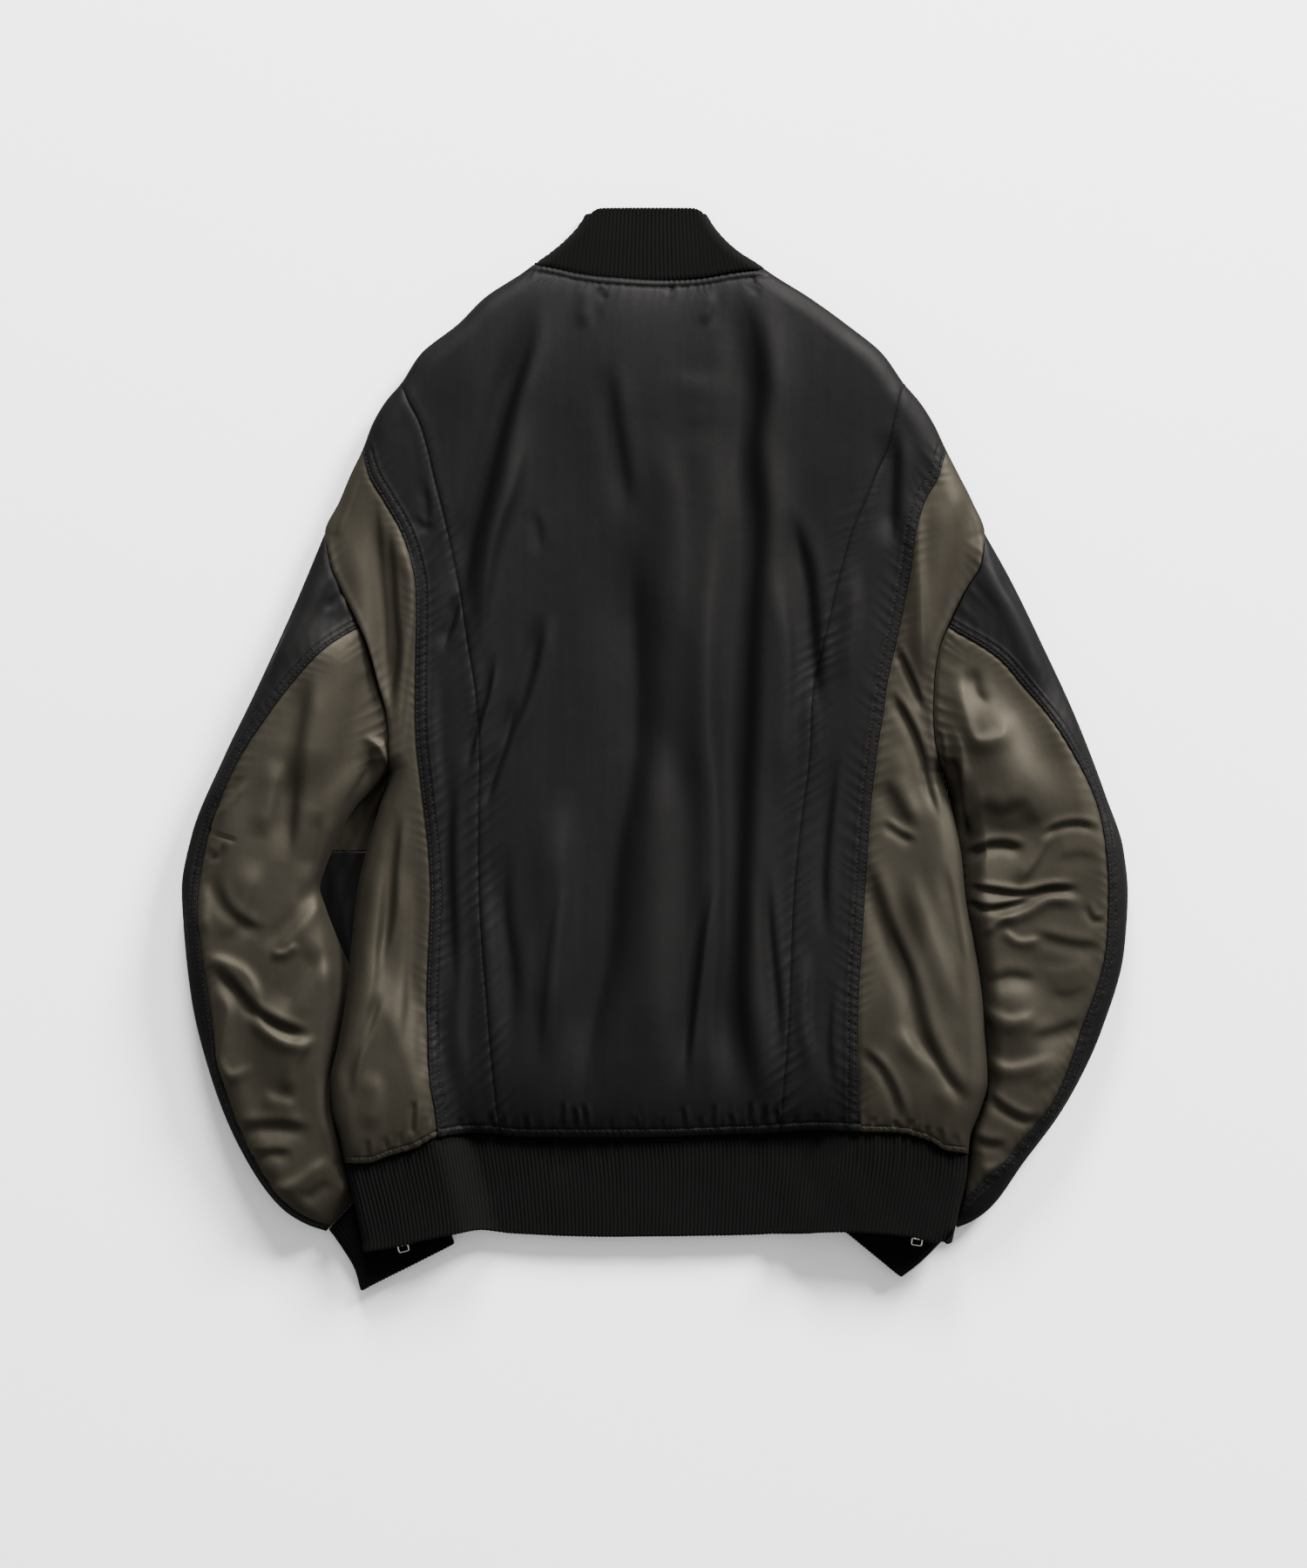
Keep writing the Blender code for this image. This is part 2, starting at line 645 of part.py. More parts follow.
def armhole(share, col):
    """Point on the body's armhole edge, on its straight runs."""
    y = TIP_Y + (UNDERARM_Y - TIP_Y) * share
    for low, high in zip(ARM_ROWS[1:], ARM_ROWS):
        if low - 1e-6 <= y <= high + 1e-6:
            k = (y - low) / (high - low)
            xa, xb = line_x(low, col), line_x(high, col)
            return xa + (xb - xa) * k, y


def make_sleeve(side, table, lines, col, sign):
    outer_piece, back, under = [], [], []
    for n, (ox, oy, ix, iy, seam, stack) in enumerate(arm_sections(table)):
        levels = arm_levels(stack)
        width = math.hypot(ix - ox, iy - oy)
        half = 0.5 * GAP / width

        def at(s, upper, split=0.5 * GAP, roll=0.0):
            if n == 0:
                x, y = armhole(s, col)
                x += sign * 3.4 * GAP
            else:
                x, y = ox + (ix - ox) * s, oy + (iy - oy) * s
            o, i = wall_point(x, y, levels, lines, upper, WALL, split)
            k = roll / width
            return o, (i[0] + (ix - ox) * k, i[1] + (iy - oy) * k, i[2])
        edge = [(seam - half) * s for s in OUTER_STEPS]
        rest = [seam + half + (1.0 - seam - half) * s for s in BACK_STEPS]
        outer_piece.append(
            [at(edge[-1], True, 0.0, -ROLL)]
            + [at(s, True, 0.0) for s in edge[-2::-1]]
            + [at(s, False, 0.0) for s in edge[1:-1]]
            + [at(edge[-1], False, 0.0, -ROLL)])
        for grid, upper in ((back, True), (under, False)):
            grid.append([at(rest[0], upper, roll=ROLL)]
                        + [at(s, upper) for s in rest[1:]])
    wall("sleeve_outer_" + side, outer_piece, BLACK)
    wall("sleeve_back_" + side, back, OLIVE)
    wall("sleeve_under_" + side, under, BLACK)


# ------------------------------------------------------------- metal parts --
def box(name, low, high, look):
    points = [(x, y, z) for x in (low[0], high[0]) for y in (low[1], high[1])
              for z in (low[2], high[2])]
    faces = [(0, 1, 3, 2), (4, 6, 7, 5), (0, 4, 5, 1), (2, 3, 7, 6),
             (0, 2, 6, 4), (1, 5, 7, 3)]
    return add_object(name, points, faces, look, smooth=False)


def extrude(name, outline, low, high, look):
    """Outline in the y-z plane, drawn out along x."""
    n = len(outline)
    points = [(x, y, z) for x in (low, high) for y, z in outline]
    faces = [tuple(range(n))[::-1], tuple(range(n, 2 * n))]
    faces += [(i, (i + 1) % n, n + (i + 1) % n, n + i) for i in range(n)]
    return add_object(name, points, faces, look, smooth=False)


def make_front_zip():
    """Closed zip between the fronts, and the slider at its upper end."""
    box("front_zip", (-2.7, HEM_EDGE_Y + 1.5, 0.9), (2.7, 316.0, 2.9), METAL)
    # slider and pull in one profile: the pull lies flat under the zip stop
    extrude("front_zip_slider",
            ((316.4, 0.3), (330.0, 0.3), (330.8, 1.2), (330.8, 3.4),
             (329.0, 4.6), (318.0, 4.6), (316.4, 3.4)), -2.6, 2.6, METAL)


# small zips whose pulls show below the hem: x, y, turn in degrees
PULLS = (("L", -179.8, -352.9, 14.0), ("R", 187.2, -348.3, -8.0))
PULL_Z = 13.5       # height of the pull's axis
WIRE = 1.1          # wire diameter
LEG = 3.6           # half width of the loop, to the wire's middle
REACH = 5.2         # length of the loop, to the wire's middle
PIN_END = 1.7       # the pins stop this far from the middle
HOLE = 0.8          # radius of the slider's hole
BLOCK = 2.6         # half width of the slider


def wire_loop(origin, turn):
    """Bent wire: pin, leg, end bar, leg, pin, with rounded corners."""
    bend = 1.1
    path = [(-PIN_END, 0.0)]
    for sx in (-1, 1):
        near = [(sx * LEG, 0.0), (sx * LEG, -REACH)]
        if sx > 0:
            near.reverse()
        for cx, cy in near:
            inward = -sx * bend
            vert = -bend if cy == 0.0 else bend
            arc = []
            for q in (0.0, 0.5, 1.0):
                a = 0.5 * math.pi * q
                arc.append((cx + inward * (1.0 - math.sin(a)),
                            cy + vert * (1.0 - math.cos(a))))
            # from the horizontal run to the vertical run
            first_is_horizontal = (cy == 0.0) == (sx < 0)
            path += arc if first_is_horizontal else arc[::-1]
    path.append((PIN_END, 0.0))
    sides = 8
    rings = []
    for n, (px, py) in enumerate(path):
        before = path[max(n - 1, 0)]
        after = path[min(n + 1, len(path) - 1)]
        t1 = unit((px - before[0], py - before[1])) if n else None
        t2 = (unit((after[0] - px, after[1] - py))
              if n < len(path) - 1 else None)
        t1 = t1 or t2
        t2 = t2 or t1
        mid = unit((t1[0] + t2[0], t1[1] + t2[1]))
        stretch = 1.0 / max(0.5, mid[0] * t1[0] + mid[1] * t1[1])
        rings.append([(px - mid[1] * 0.5 * WIRE * stretch * math.cos(a),
                       py + mid[0] * 0.5 * WIRE * stretch * math.cos(a),
                       0.5 * WIRE * math.sin(a))
                      for a in (2 * math.pi * k / sides
                                for k in range(sides))])
    c, s = math.cos(math.radians(turn)), math.sin(math.radians(turn))
    points = [(origin[0] + c * x - s * y, origin[1] + s * x + c * y,
               origin[2] + z) for ring in rings for x, y, z in ring]
    faces = [tuple(range(sides))]
    for r in range(len(rings) - 1):
        for k in range(sides):
            m = (k + 1) % sides
            faces.append((r * sides + k, r * sides + m,
                          (r + 1) * sides + m, (r + 1) * sides + k))
    faces.append(tuple(range((len(rings) - 1) * sides,
                             len(rings) * sides))[::-1])
    return points, faces


def make_pull(side, x, y, turn):
    origin = (x, y, PULL_Z)
    c, s = math.cos(math.radians(turn)), math.sin(math.radians(turn))
    points, faces = wire_loop(origin, turn)
    add_object("pull_loop_" + side, points, faces, METAL, origin=origin)
    # slider: a rounded block with a through hole for the loop's pins
    steps = 12
    outer, hole = [], []
    for k in range(steps):
        a = 2 * math.pi * k / steps
        ca, sa = math.cos(a), math.sin(a)
        # y grows towards the body: round towards the free side
        if ca <= 0.01:
            outer.append((1.3 * ca, 1.3 * sa))
        else:
            outer.append((min(5.0, 8.0 * ca), 1.3 * max(-1.0, min(1.0,
                                                               1.6 * sa))))
        hole.append((HOLE * ca, HOLE * sa))
    pts = []
    for lx in (-BLOCK, BLOCK):
        for ring in (outer, hole):
            for ly, lz in ring:
                pts.append((x + c * lx - s * ly, y + s * lx + c * ly,
                            PULL_Z + lz))
    fs = []
    for k in range(steps):
        m = (k + 1) % steps
        fs.append((k, m, steps + m, steps + k))
        fs.append((2 * steps + k, 3 * steps + k, 3 * steps + m,
                   2 * steps + m))
        fs.append((k, 2 * steps + k, 2 * steps + m, m))
        fs.append((steps + k, steps + m, 3 * steps + m, 3 * steps + k))
    add_object("zip_slider_" + side, pts, fs, METAL, origin=origin)


def main():
    clear_scene()
    make_ribs(make_body())
    make_left_side()
    make_cuff("cuff_L", CUFF_L, True)
    make_cuff("cuff_R", CUFF_R, False)
    make_sleeve("L", ARM_L, LEFT_ARM_LINES, EDGE_L, -1.0)
    make_sleeve("R", ARM_R, RIGHT_ARM_LINES, EDGE_R, 1.0)
    make_front_zip()
    for row in PULLS:
        make_pull(*row)


main()
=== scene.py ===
"""Looks of a padded bomber jacket that lies face down on a pale floor.

Every cloth piece of the frame is replaced by a thin shell on the same form,
with its creases, puckers and seams listed one by one.  Tables are in
millimetres unless their heading says "image", which means pixels of the
1500 x 1800 picture frame, turned into millimetres by plan().
"""
import math

import bpy
import numpy as np
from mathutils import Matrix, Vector


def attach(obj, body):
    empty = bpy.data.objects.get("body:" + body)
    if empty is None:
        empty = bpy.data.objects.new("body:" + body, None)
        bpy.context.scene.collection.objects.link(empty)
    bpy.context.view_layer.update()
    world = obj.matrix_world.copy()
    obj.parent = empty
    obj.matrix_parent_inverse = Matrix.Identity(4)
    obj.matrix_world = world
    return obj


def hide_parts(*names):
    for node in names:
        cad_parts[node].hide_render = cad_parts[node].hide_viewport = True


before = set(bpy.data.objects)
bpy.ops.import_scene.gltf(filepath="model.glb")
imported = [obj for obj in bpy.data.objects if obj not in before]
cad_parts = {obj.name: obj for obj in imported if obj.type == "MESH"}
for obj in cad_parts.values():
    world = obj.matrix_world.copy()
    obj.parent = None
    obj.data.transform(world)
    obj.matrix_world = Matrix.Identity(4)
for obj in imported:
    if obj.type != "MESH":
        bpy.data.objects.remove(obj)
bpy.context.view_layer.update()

# ------------------------------------------------------------------ sizes --
THICK = 2.2         # shell with its wadding, as far as an edge shows it
RIB_THICK = 2.6     # folded knit
GAP = 0.16
CLEAR = 3.0
RIB_STACK = 11.8
BODY_STACK = 27.0
FOLD_SHARE = 0.45
FOLD_REACH = 0.62
HEM_Y = -275.9
NECK_Y = 334.2
HEM_SOFT = 62.0
NECK_SOFT = 96.0
UNDERARM_Y = -15.5
TIP_Y = 153.8
HEM_EDGE_Y = -347.8
COLLAR_TOP_Y = 386.3
LIFT_RAMP = 32.0
TAB = 3.0
FINE = 1.56          # mesh step on what shows
BACK_STEP = 1.86    # and on the large back
COARSE = 3.6        # and on what lies underneath
PITCH = 2.8         # from one rib to the next
SCALE = 0.62        # millimetres in a picture pixel
MID_PX, MID_PY = 751.5, 860.0

# y, left edge, left colour seam, left back seam, right back seam,
# right colour seam, right edge
BODY = (
    (-351.0, -207.5, -154.0, -111.0, 89.0, 144.0, 211.5),
    (-330.0, -212.0, -154.0, -111.0, 89.0, 144.0, 216.0),
    (-302.0, -219.0, -154.0, -111.0, 89.0, 144.0, 222.0),
    (-275.9, -224.0, -154.0, -110.7, 89.6, 144.2, 224.0),
    (-257.3, -229.1, -155.8, -112.7, 90.4, 144.2, 230.9),
    (-235.6, -230.3, -159.7, -115.0, 91.9, 144.2, 236.5),
    (-210.8, -225.4, -161.2, -117.3, 94.1, 144.2, 235.3),
    (-179.8, -220.1, -161.9, -119.6, 95.9, 144.7, 233.1),
    (-142.6, -216.4, -160.7, -122.7, 97.1, 146.8, 227.8),
    (-105.4, -212.7, -159.2, -124.9, 98.7, 149.3, 221.0),
    (-74.4, -206.2, -160.5, -125.5, 101.4, 151.1, 217.9),
    (-43.4, -196.8, -163.9, -125.2, 105.1, 153.2, 211.7),
    (-15.5, -189.4, -167.3, -124.5, 108.8, 156.3, 204.3),
    (6.2, -189.4, -169.5, -124.9, 110.6, 159.0, 199.3),
    (24.8, -191.0, -170.2, -125.8, 111.1, 162.3, 198.1),
    (46.5, -196.8, -170.1, -128.4, 113.2, 165.1, 198.7),
    (71.3, -203.4, -169.7, -132.5, 118.7, 170.4, 202.4),
    (91.8, -212.3, -169.3, -135.6, 124.0, 174.9, 211.1),
    (114.1, -223.5, -169.6, -139.0, 128.7, 179.2, 222.0),
    (131.4, -230.9, -172.4, -142.3, 133.4, 182.3, 232.0),
    (153.8, -235.3, -179.7, -147.2, 140.0, 185.4, 235.3),
    (176.7, -224.9, -192.5, -152.8, 149.9, 192.1, 226.5),
    (195.3, -217.1, -203.4, -157.6, 157.5, 202.5, 217.1),
    (213.0, -208.6, -208.6, -161.7, 165.4, 208.0, 208.0),
    (232.5, -201.1, -201.1, -167.9, 169.5, 198.7, 198.7),
    (248.0, -191.9, -191.9, -176.0, 174.0, 188.7, 188.7),
    (260.4, -181.3, -181.3, -181.3, 178.0, 178.0, 178.0),
    (282.1, -166.9, -166.9, -166.9, 162.5, 162.5, 162.5),
    (303.8, -139.8, -139.8, -139.8, 136.0, 136.0, 136.0),
    (322.4, -121.3, -121.3, -121.3, 110.3, 110.3, 110.3),
    (339.8, -95.0, -95.0, -95.0, 83.0, 83.0, 83.0),
    (346.0, -86.8, -86.8, -86.8, 74.8, 74.8, 74.8),
    (356.5, -72.4, -72.4, -72.4, 58.6, 58.6, 58.6),
    (365.4, -62.2, -62.2, -62.2, 49.0, 49.0, 49.0),
    (374.0, -54.4, -54.4, -54.4, 41.9, 41.9, 41.9),
    (381.5, -49.8, -49.8, -49.8, 37.4, 37.4, 37.4),
    (386.3, -47.0, -47.0, -47.0, 35.0, 35.0, 35.0),
)
Y_, EDGE_L, OLIVE_L, SEAM_L, SEAM_R, OLIVE_R, EDGE_R = range(7)

# x, how far a seam or edge strays from its straight line
HEM_DIP = ((-224, -18.6), (-204, -18.6), (-188, -13.6), (-171, -8.7),
           (-154, -0.5), (-124, 1.2), (-94, -1.2), (15, -1.2), (63, 0.6),
           (111, 3.7), (170, 2.5), (194, -3.1), (207, -10.5), (224, -12.4))
EDGE_DIP = ((-206, -9.3), (-184, -6.2), (-164, -1.2), (-144, 2.5),
            (-124, 5.6), (-104, 2.5), (-32, 0.0), (63, 1.2), (134, 4.3),
            (181, 1.2), (196, -2.5), (212, -3.7))
NECK_DIP = ((-87, 12.0), (-69, 8.7), (-57, 5.6), (-32, 1.8), (0, 0.0),
            (30, 1.8), (61, 6.8), (82, 9.0))

# y, lift of the body's underside at the left, its width, at the right, width
LIFT = (
    (-356.0, 15.2, 70.0, 15.2, 100.0),
    (-340.0, 15.2, 68.0, 15.2, 96.0),
    (-300.0, 16.5, 66.0, 16.5, 86.0),
    (-275.9, 17.5, 63.0, 17.5, 78.0),
    (-241.8, 17.0, 58.0, 17.5, 76.0),
    (-204.6, 15.5, 40.0, 17.5, 62.0),
    (-179.8, 13.0, 24.0, 17.0, 52.0),
    (-154.0, 8.0, 12.0, 16.5, 38.0),
    (-125.0, 3.0, 4.0, 15.0, 26.0),
    (-105.0, 0.0, 0.0, 14.0, 20.0),
    (-74.4, 0.0, 0.0, 11.5, 12.0),
    (-45.0, 0.0, 0.0, 6.0, 4.0),
    (-25.0, 0.0, 0.0, 0.0, 0.0),
)

# outer x, outer y, inner x, inner y, share of the outer panel, stack
ARM_L = (
    (-235.3, 153.8, -189.4, -15.5, 0.395, 27.0),
    (-257.0, 101.7, -199.3, -26.7, 0.280, 30.5),
    (-284.9, 40.3, -215.4, -44.6, 0.170, 34.0),
    (-308.4, -8.7, -225.4, -63.2, 0.111, 36.0),
    (-330.1, -62.0, -235.3, -86.8, 0.103, 36.0),
    (-337.0, -99.8, -238.4, -99.2, 0.115, 36.0),
    (-335.7, -125.2, -234.7, -111.6, 0.115, 36.0),
    (-330.1, -177.3, -222.9, -142.6, 0.111, 36.0),
    (-316.5, -232.5, -210.5, -170.5, 0.060, 35.0),
    (-294.8, -285.8, -193.1, -204.6, 0.040, 33.0),
    (-263.8, -329.2, -179.5, -241.8, 0.040, 28.0),
    (-247.0, -339.5, -173.0, -258.0, 0.045, 23.0),
    (-234.7, -344.1, -169.6, -272.8, 0.055, 11.8),
)
ARM_R = (
    (235.3, 153.8, 204.3, -15.5, 0.395, 27.0),
    (253.3, 121.5, 208.3, -27.9, 0.330, 29.5),
    (276.8, 73.2, 212.0, -42.2, 0.240, 32.0),
    (300.4, 21.7, 214.6, -57.0, 0.136, 35.0),
    (321.5, -33.5, 214.5, -73.2, 0.080, 36.0),
    (333.9, -71.3, 212.5, -89.3, 0.115, 36.0),
    (337.0, -102.3, 209.9, -105.4, 0.119, 36.0),
    (334.5, -142.6, 207.4, -125.2, 0.111, 36.0),
    (319.0, -198.4, 199.9, -153.8, 0.113, 36.0),
    (292.9, -253.0, 188.8, -184.8, 0.085, 34.0),
    (262.6, -295.1, 176.4, -217.0, 0.104, 31.0),
    (238.4, -328.0, 164.0, -249.2, 0.178, 26.0),
    (226.0, -337.0, 158.5, -262.0, 0.180, 22.0),
    (216.1, -341.6, 154.1, -272.8, 0.180, 11.8),
)
# outer x, outer y, inner x, inner y, from sleeve to open end
CUFF_L = (
    (-232.4, -342.6, -171.2, -275.4),
    (-222.5, -357.0, -162.0, -302.0),
    (-214.0, -371.5, -152.0, -328.5),
    (-209.9, -386.3, -142.9, -353.4),
)
CUFF_R = (
    (214.6, -340.7, 155.4, -275.3),
    (202.5, -353.5, 143.5, -294.5),
    (190.0, -366.0, 130.5, -312.5),
    (175.8, -377.0, 118.1, -329.8),
)


# ------------------------------------------------------------ small tools --
def plan(px, py):
    """Picture pixels to millimetres in the plan."""
    return ((np.asarray(px, float) - MID_PX) * SCALE,
            (MID_PY - np.asarray(py, float)) * SCALE)


def smooth_curve(xs, ys):
    """Curve through points that rounds their corners, without overshoot."""
    xs, ys = np.asarray(xs, float), np.asarray(ys, float)
    h = np.diff(xs)
    slope = np.diff(ys) / h
    m = np.zeros_like(ys)
    m[0], m[-1] = slope[0], slope[-1]
    for i in range(1, len(xs) - 1):
        a, b = slope[i - 1], slope[i]
        if a * b > 0:
            w1, w2 = 2 * h[i] + h[i - 1], h[i] + 2 * h[i - 1]
            m[i] = (w1 + w2) / (w1 / a + w2 / b)

    def at(x):
        x = np.clip(np.asarray(x, float), xs[0], xs[-1])
        i = np.clip(np.searchsorted(xs, x, side="right") - 1, 0, len(xs) - 2)
        t = (x - xs[i]) / h[i]
        return (ys[i] * (1 + 2 * t) * (1 - t) ** 2
                + m[i] * h[i] * t * (1 - t) ** 2
                + ys[i + 1] * t * t * (3 - 2 * t)
                + m[i + 1] * h[i] * t * t * (t - 1))
    return at


def soft(k):
    k = np.clip(k, 0.0, 1.0)
    return k * k * (3.0 - 2.0 * k)


def round_up(k):
    k = np.clip(k, 0.0, 1.0)
    return np.sqrt(np.maximum(0.0, 1.0 - (1.0 - k) ** 2))


def soft_min(a, b, k):
    """Smaller of two, with the corner between them rounded below both."""
    h = np.clip(0.5 + 0.5 * (b - a) / k, 0.0, 1.0)
    return b + (a - b) * h - k * h * (1.0 - h)


def normalised(v):
    return v / np.maximum(np.linalg.norm(v, axis=-1, keepdims=True), 1e-9)


class Line:
    """Polyline in the plan, for distances to many points at once."""

    def __init__(self, points):
        p = np.asarray(points, float)
        keep = np.r_[True, np.linalg.norm(np.diff(p, axis=0), axis=1) > 1e-6]
        self.p = p[keep]
        self.a = self.p[:-1]
        self.d = np.diff(self.p, axis=0)
        self.size = np.linalg.norm(self.d, axis=1)
        self.start = np.r_[0.0, np.cumsum(self.size)[:-1]]
        self.length = self.size.sum()

    def to(self, x, y):
        """Distance, side (+1 right of the line), place along it, and the
        direction away from it."""
        x, y = np.ravel(x), np.ravel(y)
        dist = np.empty(len(x))
        side = np.empty(len(x))
        place = np.empty(len(x))
        away = np.empty((len(x), 2))
        for lo in range(0, len(x), 20000):
            hi = min(lo + 20000, len(x))
            px = x[lo:hi, None] - self.a[None, :, 0]
            py = y[lo:hi, None] - self.a[None, :, 1]
            dx, dy = self.d[None, :, 0], self.d[None, :, 1]
            t = np.clip((px * dx + py * dy) / (dx * dx + dy * dy), 0.0, 1.0)
            qx, qy = px - t * dx, py - t * dy
            d2 = qx * qx + qy * qy
            i = np.argmin(d2, axis=1)
            r = np.arange(hi - lo)
            dist[lo:hi] = np.sqrt(d2[r, i])
            cross = self.d[i, 0] * py[r, i] - self.d[i, 1] * px[r, i]
            side[lo:hi] = np.where(cross < 0, 1.0, -1.0)
            place[lo:hi] = self.start[i] + t[r, i] * self.size[i]
            far = np.maximum(dist[lo:hi], 1e-9)
            n = self.size[i]
            flat = np.stack((-self.d[i, 1] / n, self.d[i, 0] / n), 1)
            q = np.stack((qx[r, i] / far, qy[r, i] / far), 1)
            away[lo:hi] = np.where((dist[lo:hi] > 0.05)[:, None], q, flat)
        return dist, side, place, away


def nearest(lines, x, y):
    """Distance to the nearest of the lines and the direction away."""
    best, way = None, None
    for line in lines:
        d, _, _, away = line.to(x, y)
        if best is None:
            best, way = d, away
        else:
            closer = d < best
            best = np.where(closer, d, best)
            way = np.where(closer[:, None], away, way)
    return best, way


def rounded(points, step=3.0):
    """Polyline through points with its corners rounded, evenly stepped."""
    p = np.asarray(points, float)
    if len(p) < 3:
        n = max(2, int(np.linalg.norm(p[-1] - p[0]) / step) + 1)
        k = np.linspace(0.0, 1.0, n)[:, None]
        return p[0] + (p[-1] - p[0]) * k
    s = np.r_[0.0, np.cumsum(np.linalg.norm(np.diff(p, axis=0), axis=1))]
    # tangents as in a Catmull-Rom curve
    m = np.gradient(p, s, axis=0)
    at = np.linspace(0.0, s[-1], max(4, int(s[-1] / step) + 1))
    i = np.clip(np.searchsorted(s, at, side="right") - 1, 0, len(s) - 2)
    h = (s[i + 1] - s[i])[:, None]
    t = ((at - s[i]) / h[:, 0])[:, None]
    return (p[i] * (1 + 2 * t) * (1 - t) ** 2 + m[i] * h * t * (1 - t) ** 2
            + p[i + 1] * t * t * (3 - 2 * t) + m[i + 1] * h * t * t * (t - 1))


class Noise:
    """Smooth value noise in the plan, the same on every run."""

    def __init__(self, seed, cell):
        self.cell = cell
        self.grid = np.random.RandomState(seed).uniform(-1, 1, (257, 257))

    def __call__(self, x, y):
        u, v = np.asarray(x) / self.cell + 77.3, np.asarray(y) / self.cell + 91.7
        i, j = np.floor(u).astype(int), np.floor(v).astype(int)
        a, b = u - i, v - j
        a, b = a * a * a * (a * (a * 6 - 15) + 10), b * b * b * (b * (b * 6 - 15) + 10)
        i, j, i1, j1 = i % 256, j % 256, (i + 1) % 256, (j + 1) % 256
        g = self.grid
        return ((g[i, j] * (1 - a) + g[i1, j] * a) * (1 - b)
                + (g[i, j1] * (1 - a) + g[i1, j1] * a) * b)


# -------------------------------------------------- outline, seams, levels --
def body_curve(col, joins_edge, above):
    """A seam of the panel table; above its tip it is the edge itself."""
    edge = EDGE_L if col < SEAM_R else EDGE_R
    rim = smooth_curve([r[0] for r in BODY], [r[edge] for r in BODY])
    if not joins_edge:
        return rim
    rows = [r for r in BODY if r[0] <= above]
    line = smooth_curve([r[0] for r in rows], [r[col] for r in rows])
    return lambda y: np.where(np.asarray(y) >= above, rim(y), line(y))


BODY_AT = [None, body_curve(EDGE_L, False, 0), body_curve(OLIVE_L, True, 213.0),
           body_curve(SEAM_L, True, 260.4), body_curve(SEAM_R, True, 260.4),
           body_curve(OLIVE_R, True, 213.0), body_curve(EDGE_R, False, 0)]
HEM_AT = smooth_curve(*zip(*HEM_DIP))
EDGE_AT = smooth_curve(*zip(*EDGE_DIP))
NECK_AT = smooth_curve(*zip(*NECK_DIP))
LIFT_AT = [None] + [smooth_curve([r[0] for r in LIFT], [r[c] for r in LIFT])
                    for c in range(1, 5)]


def table_curves(table):
    """Each column of a sleeve table as a smooth curve over its length."""
    t = np.asarray(table, float)
    mid = 0.5 * (t[:, 0:2] + t[:, 2:4])
    s = np.r_[0.0, np.cumsum(np.linalg.norm(np.diff(mid, axis=0), axis=1))]
    return s[-1], [smooth_curve(s, t[:, c]) for c in range(t.shape[1])], s


ARMS = {"L": table_curves(ARM_L), "R": table_curves(ARM_R)}
CUFFS = {"L": table_curves(CUFF_L), "R": table_curves(CUFF_R)}


def column_points(col, low, high, step=2.5):
    y = np.linspace(low, high, max(2, int(abs(high - low) / step) + 1))
    return np.stack((BODY_AT[col](y), y), 1)


def arm_points(side, c):
    """Outer (c=0) or inner (c=2) edge of sleeve and cuff."""
    total, curve, _ = ARMS[side]
    s = np.linspace(0.0, total, int(total / 2.5))
    a = np.stack((curve[c](s), curve[c + 1](s)), 1)
    total, curve, _ = CUFFS[side]
    s = np.linspace(0.0, total, 30)
    b = np.stack((curve[c](s), curve[c + 1](s)), 1)
    return np.vstack((a, b[3:]))


OUTER_L = Line(np.vstack((column_points(EDGE_L, COLLAR_TOP_Y, TIP_Y), arm_points("L", 0)[1:])))
OUTER_R = Line(np.vstack((column_points(EDGE_R, COLLAR_TOP_Y, TIP_Y), arm_points("R", 0)[1:]))[::-1])
SIDE_L = Line(column_points(EDGE_L, UNDERARM_Y, -364.0))
SIDE_R = Line(column_points(EDGE_R, -364.0, UNDERARM_Y))
INNER_L = Line(arm_points("L", 2)[::-1])
INNER_R = Line(arm_points("R", 2))
BODY_LINES = (OUTER_L, SIDE_L, OUTER_R, SIDE_R)
ARM_LINES = {"L": (OUTER_L, INNER_L), "R": (OUTER_R, INNER_R)}
ARMHOLE = {"L": Line(column_points(EDGE_L, TIP_Y, UNDERARM_Y)),
           "R": Line(column_points(EDGE_R, TIP_Y, UNDERARM_Y))}


def row_y(y0, x):
    low = np.clip((-200.0 - y0) / (-200.0 - HEM_Y), 0.0, 1.0)
    high = np.clip((y0 - 260.4) / (NECK_Y - 260.4), 0.0, 1.0)
    return y0 + low * HEM_AT(x) + high * NECK_AT(x)


def row_x(y0, col):
    """x where the bent rows y0 meet a line of the panel table."""
    y = np.array(y0, float)
    for _ in range(8):
        x = BODY_AT[col](y)
        y = row_y(y0, x)
    return BODY_AT[col](y)


def lift(x, y):
    out = np.zeros_like(x)
    for edge, col, sign in ((EDGE_L, 1, 1.0), (EDGE_R, 3, -1.0)):
        d = (x - BODY_AT[edge](y)) * sign
        out = np.maximum(out, LIFT_AT[col](y)
                         * (1.0 - soft((d - LIFT_AT[col + 1](y)) / LIFT_RAMP)))
    return out


def body_levels(x, y):
    low = lift(x, y)
    hem = y - (HEM_Y + HEM_AT(x))
    neck = NECK_Y + NECK_AT(x) - y
    swell = round_up(hem / HEM_SOFT) * round_up(neck / NECK_SOFT)
    full = BODY_STACK - 0.25 * low
    return low, low + RIB_STACK + (full - RIB_STACK) * swell


def beside_body(x, y):
    """Distance outside the body's side folds, less than 0 under the body."""
    d, _ = nearest((SIDE_L, SIDE_R), x, y)
    under = (BODY_AT[EDGE_L](y) < x) & (x < BODY_AT[EDGE_R](y))
    return np.where(under, -d, d)


def below_underarm(y):
    """0 at the armhole, 1 where body and sleeve are two separate tubes."""
    return soft((UNDERARM_Y + 4.0 - y) / 30.0)


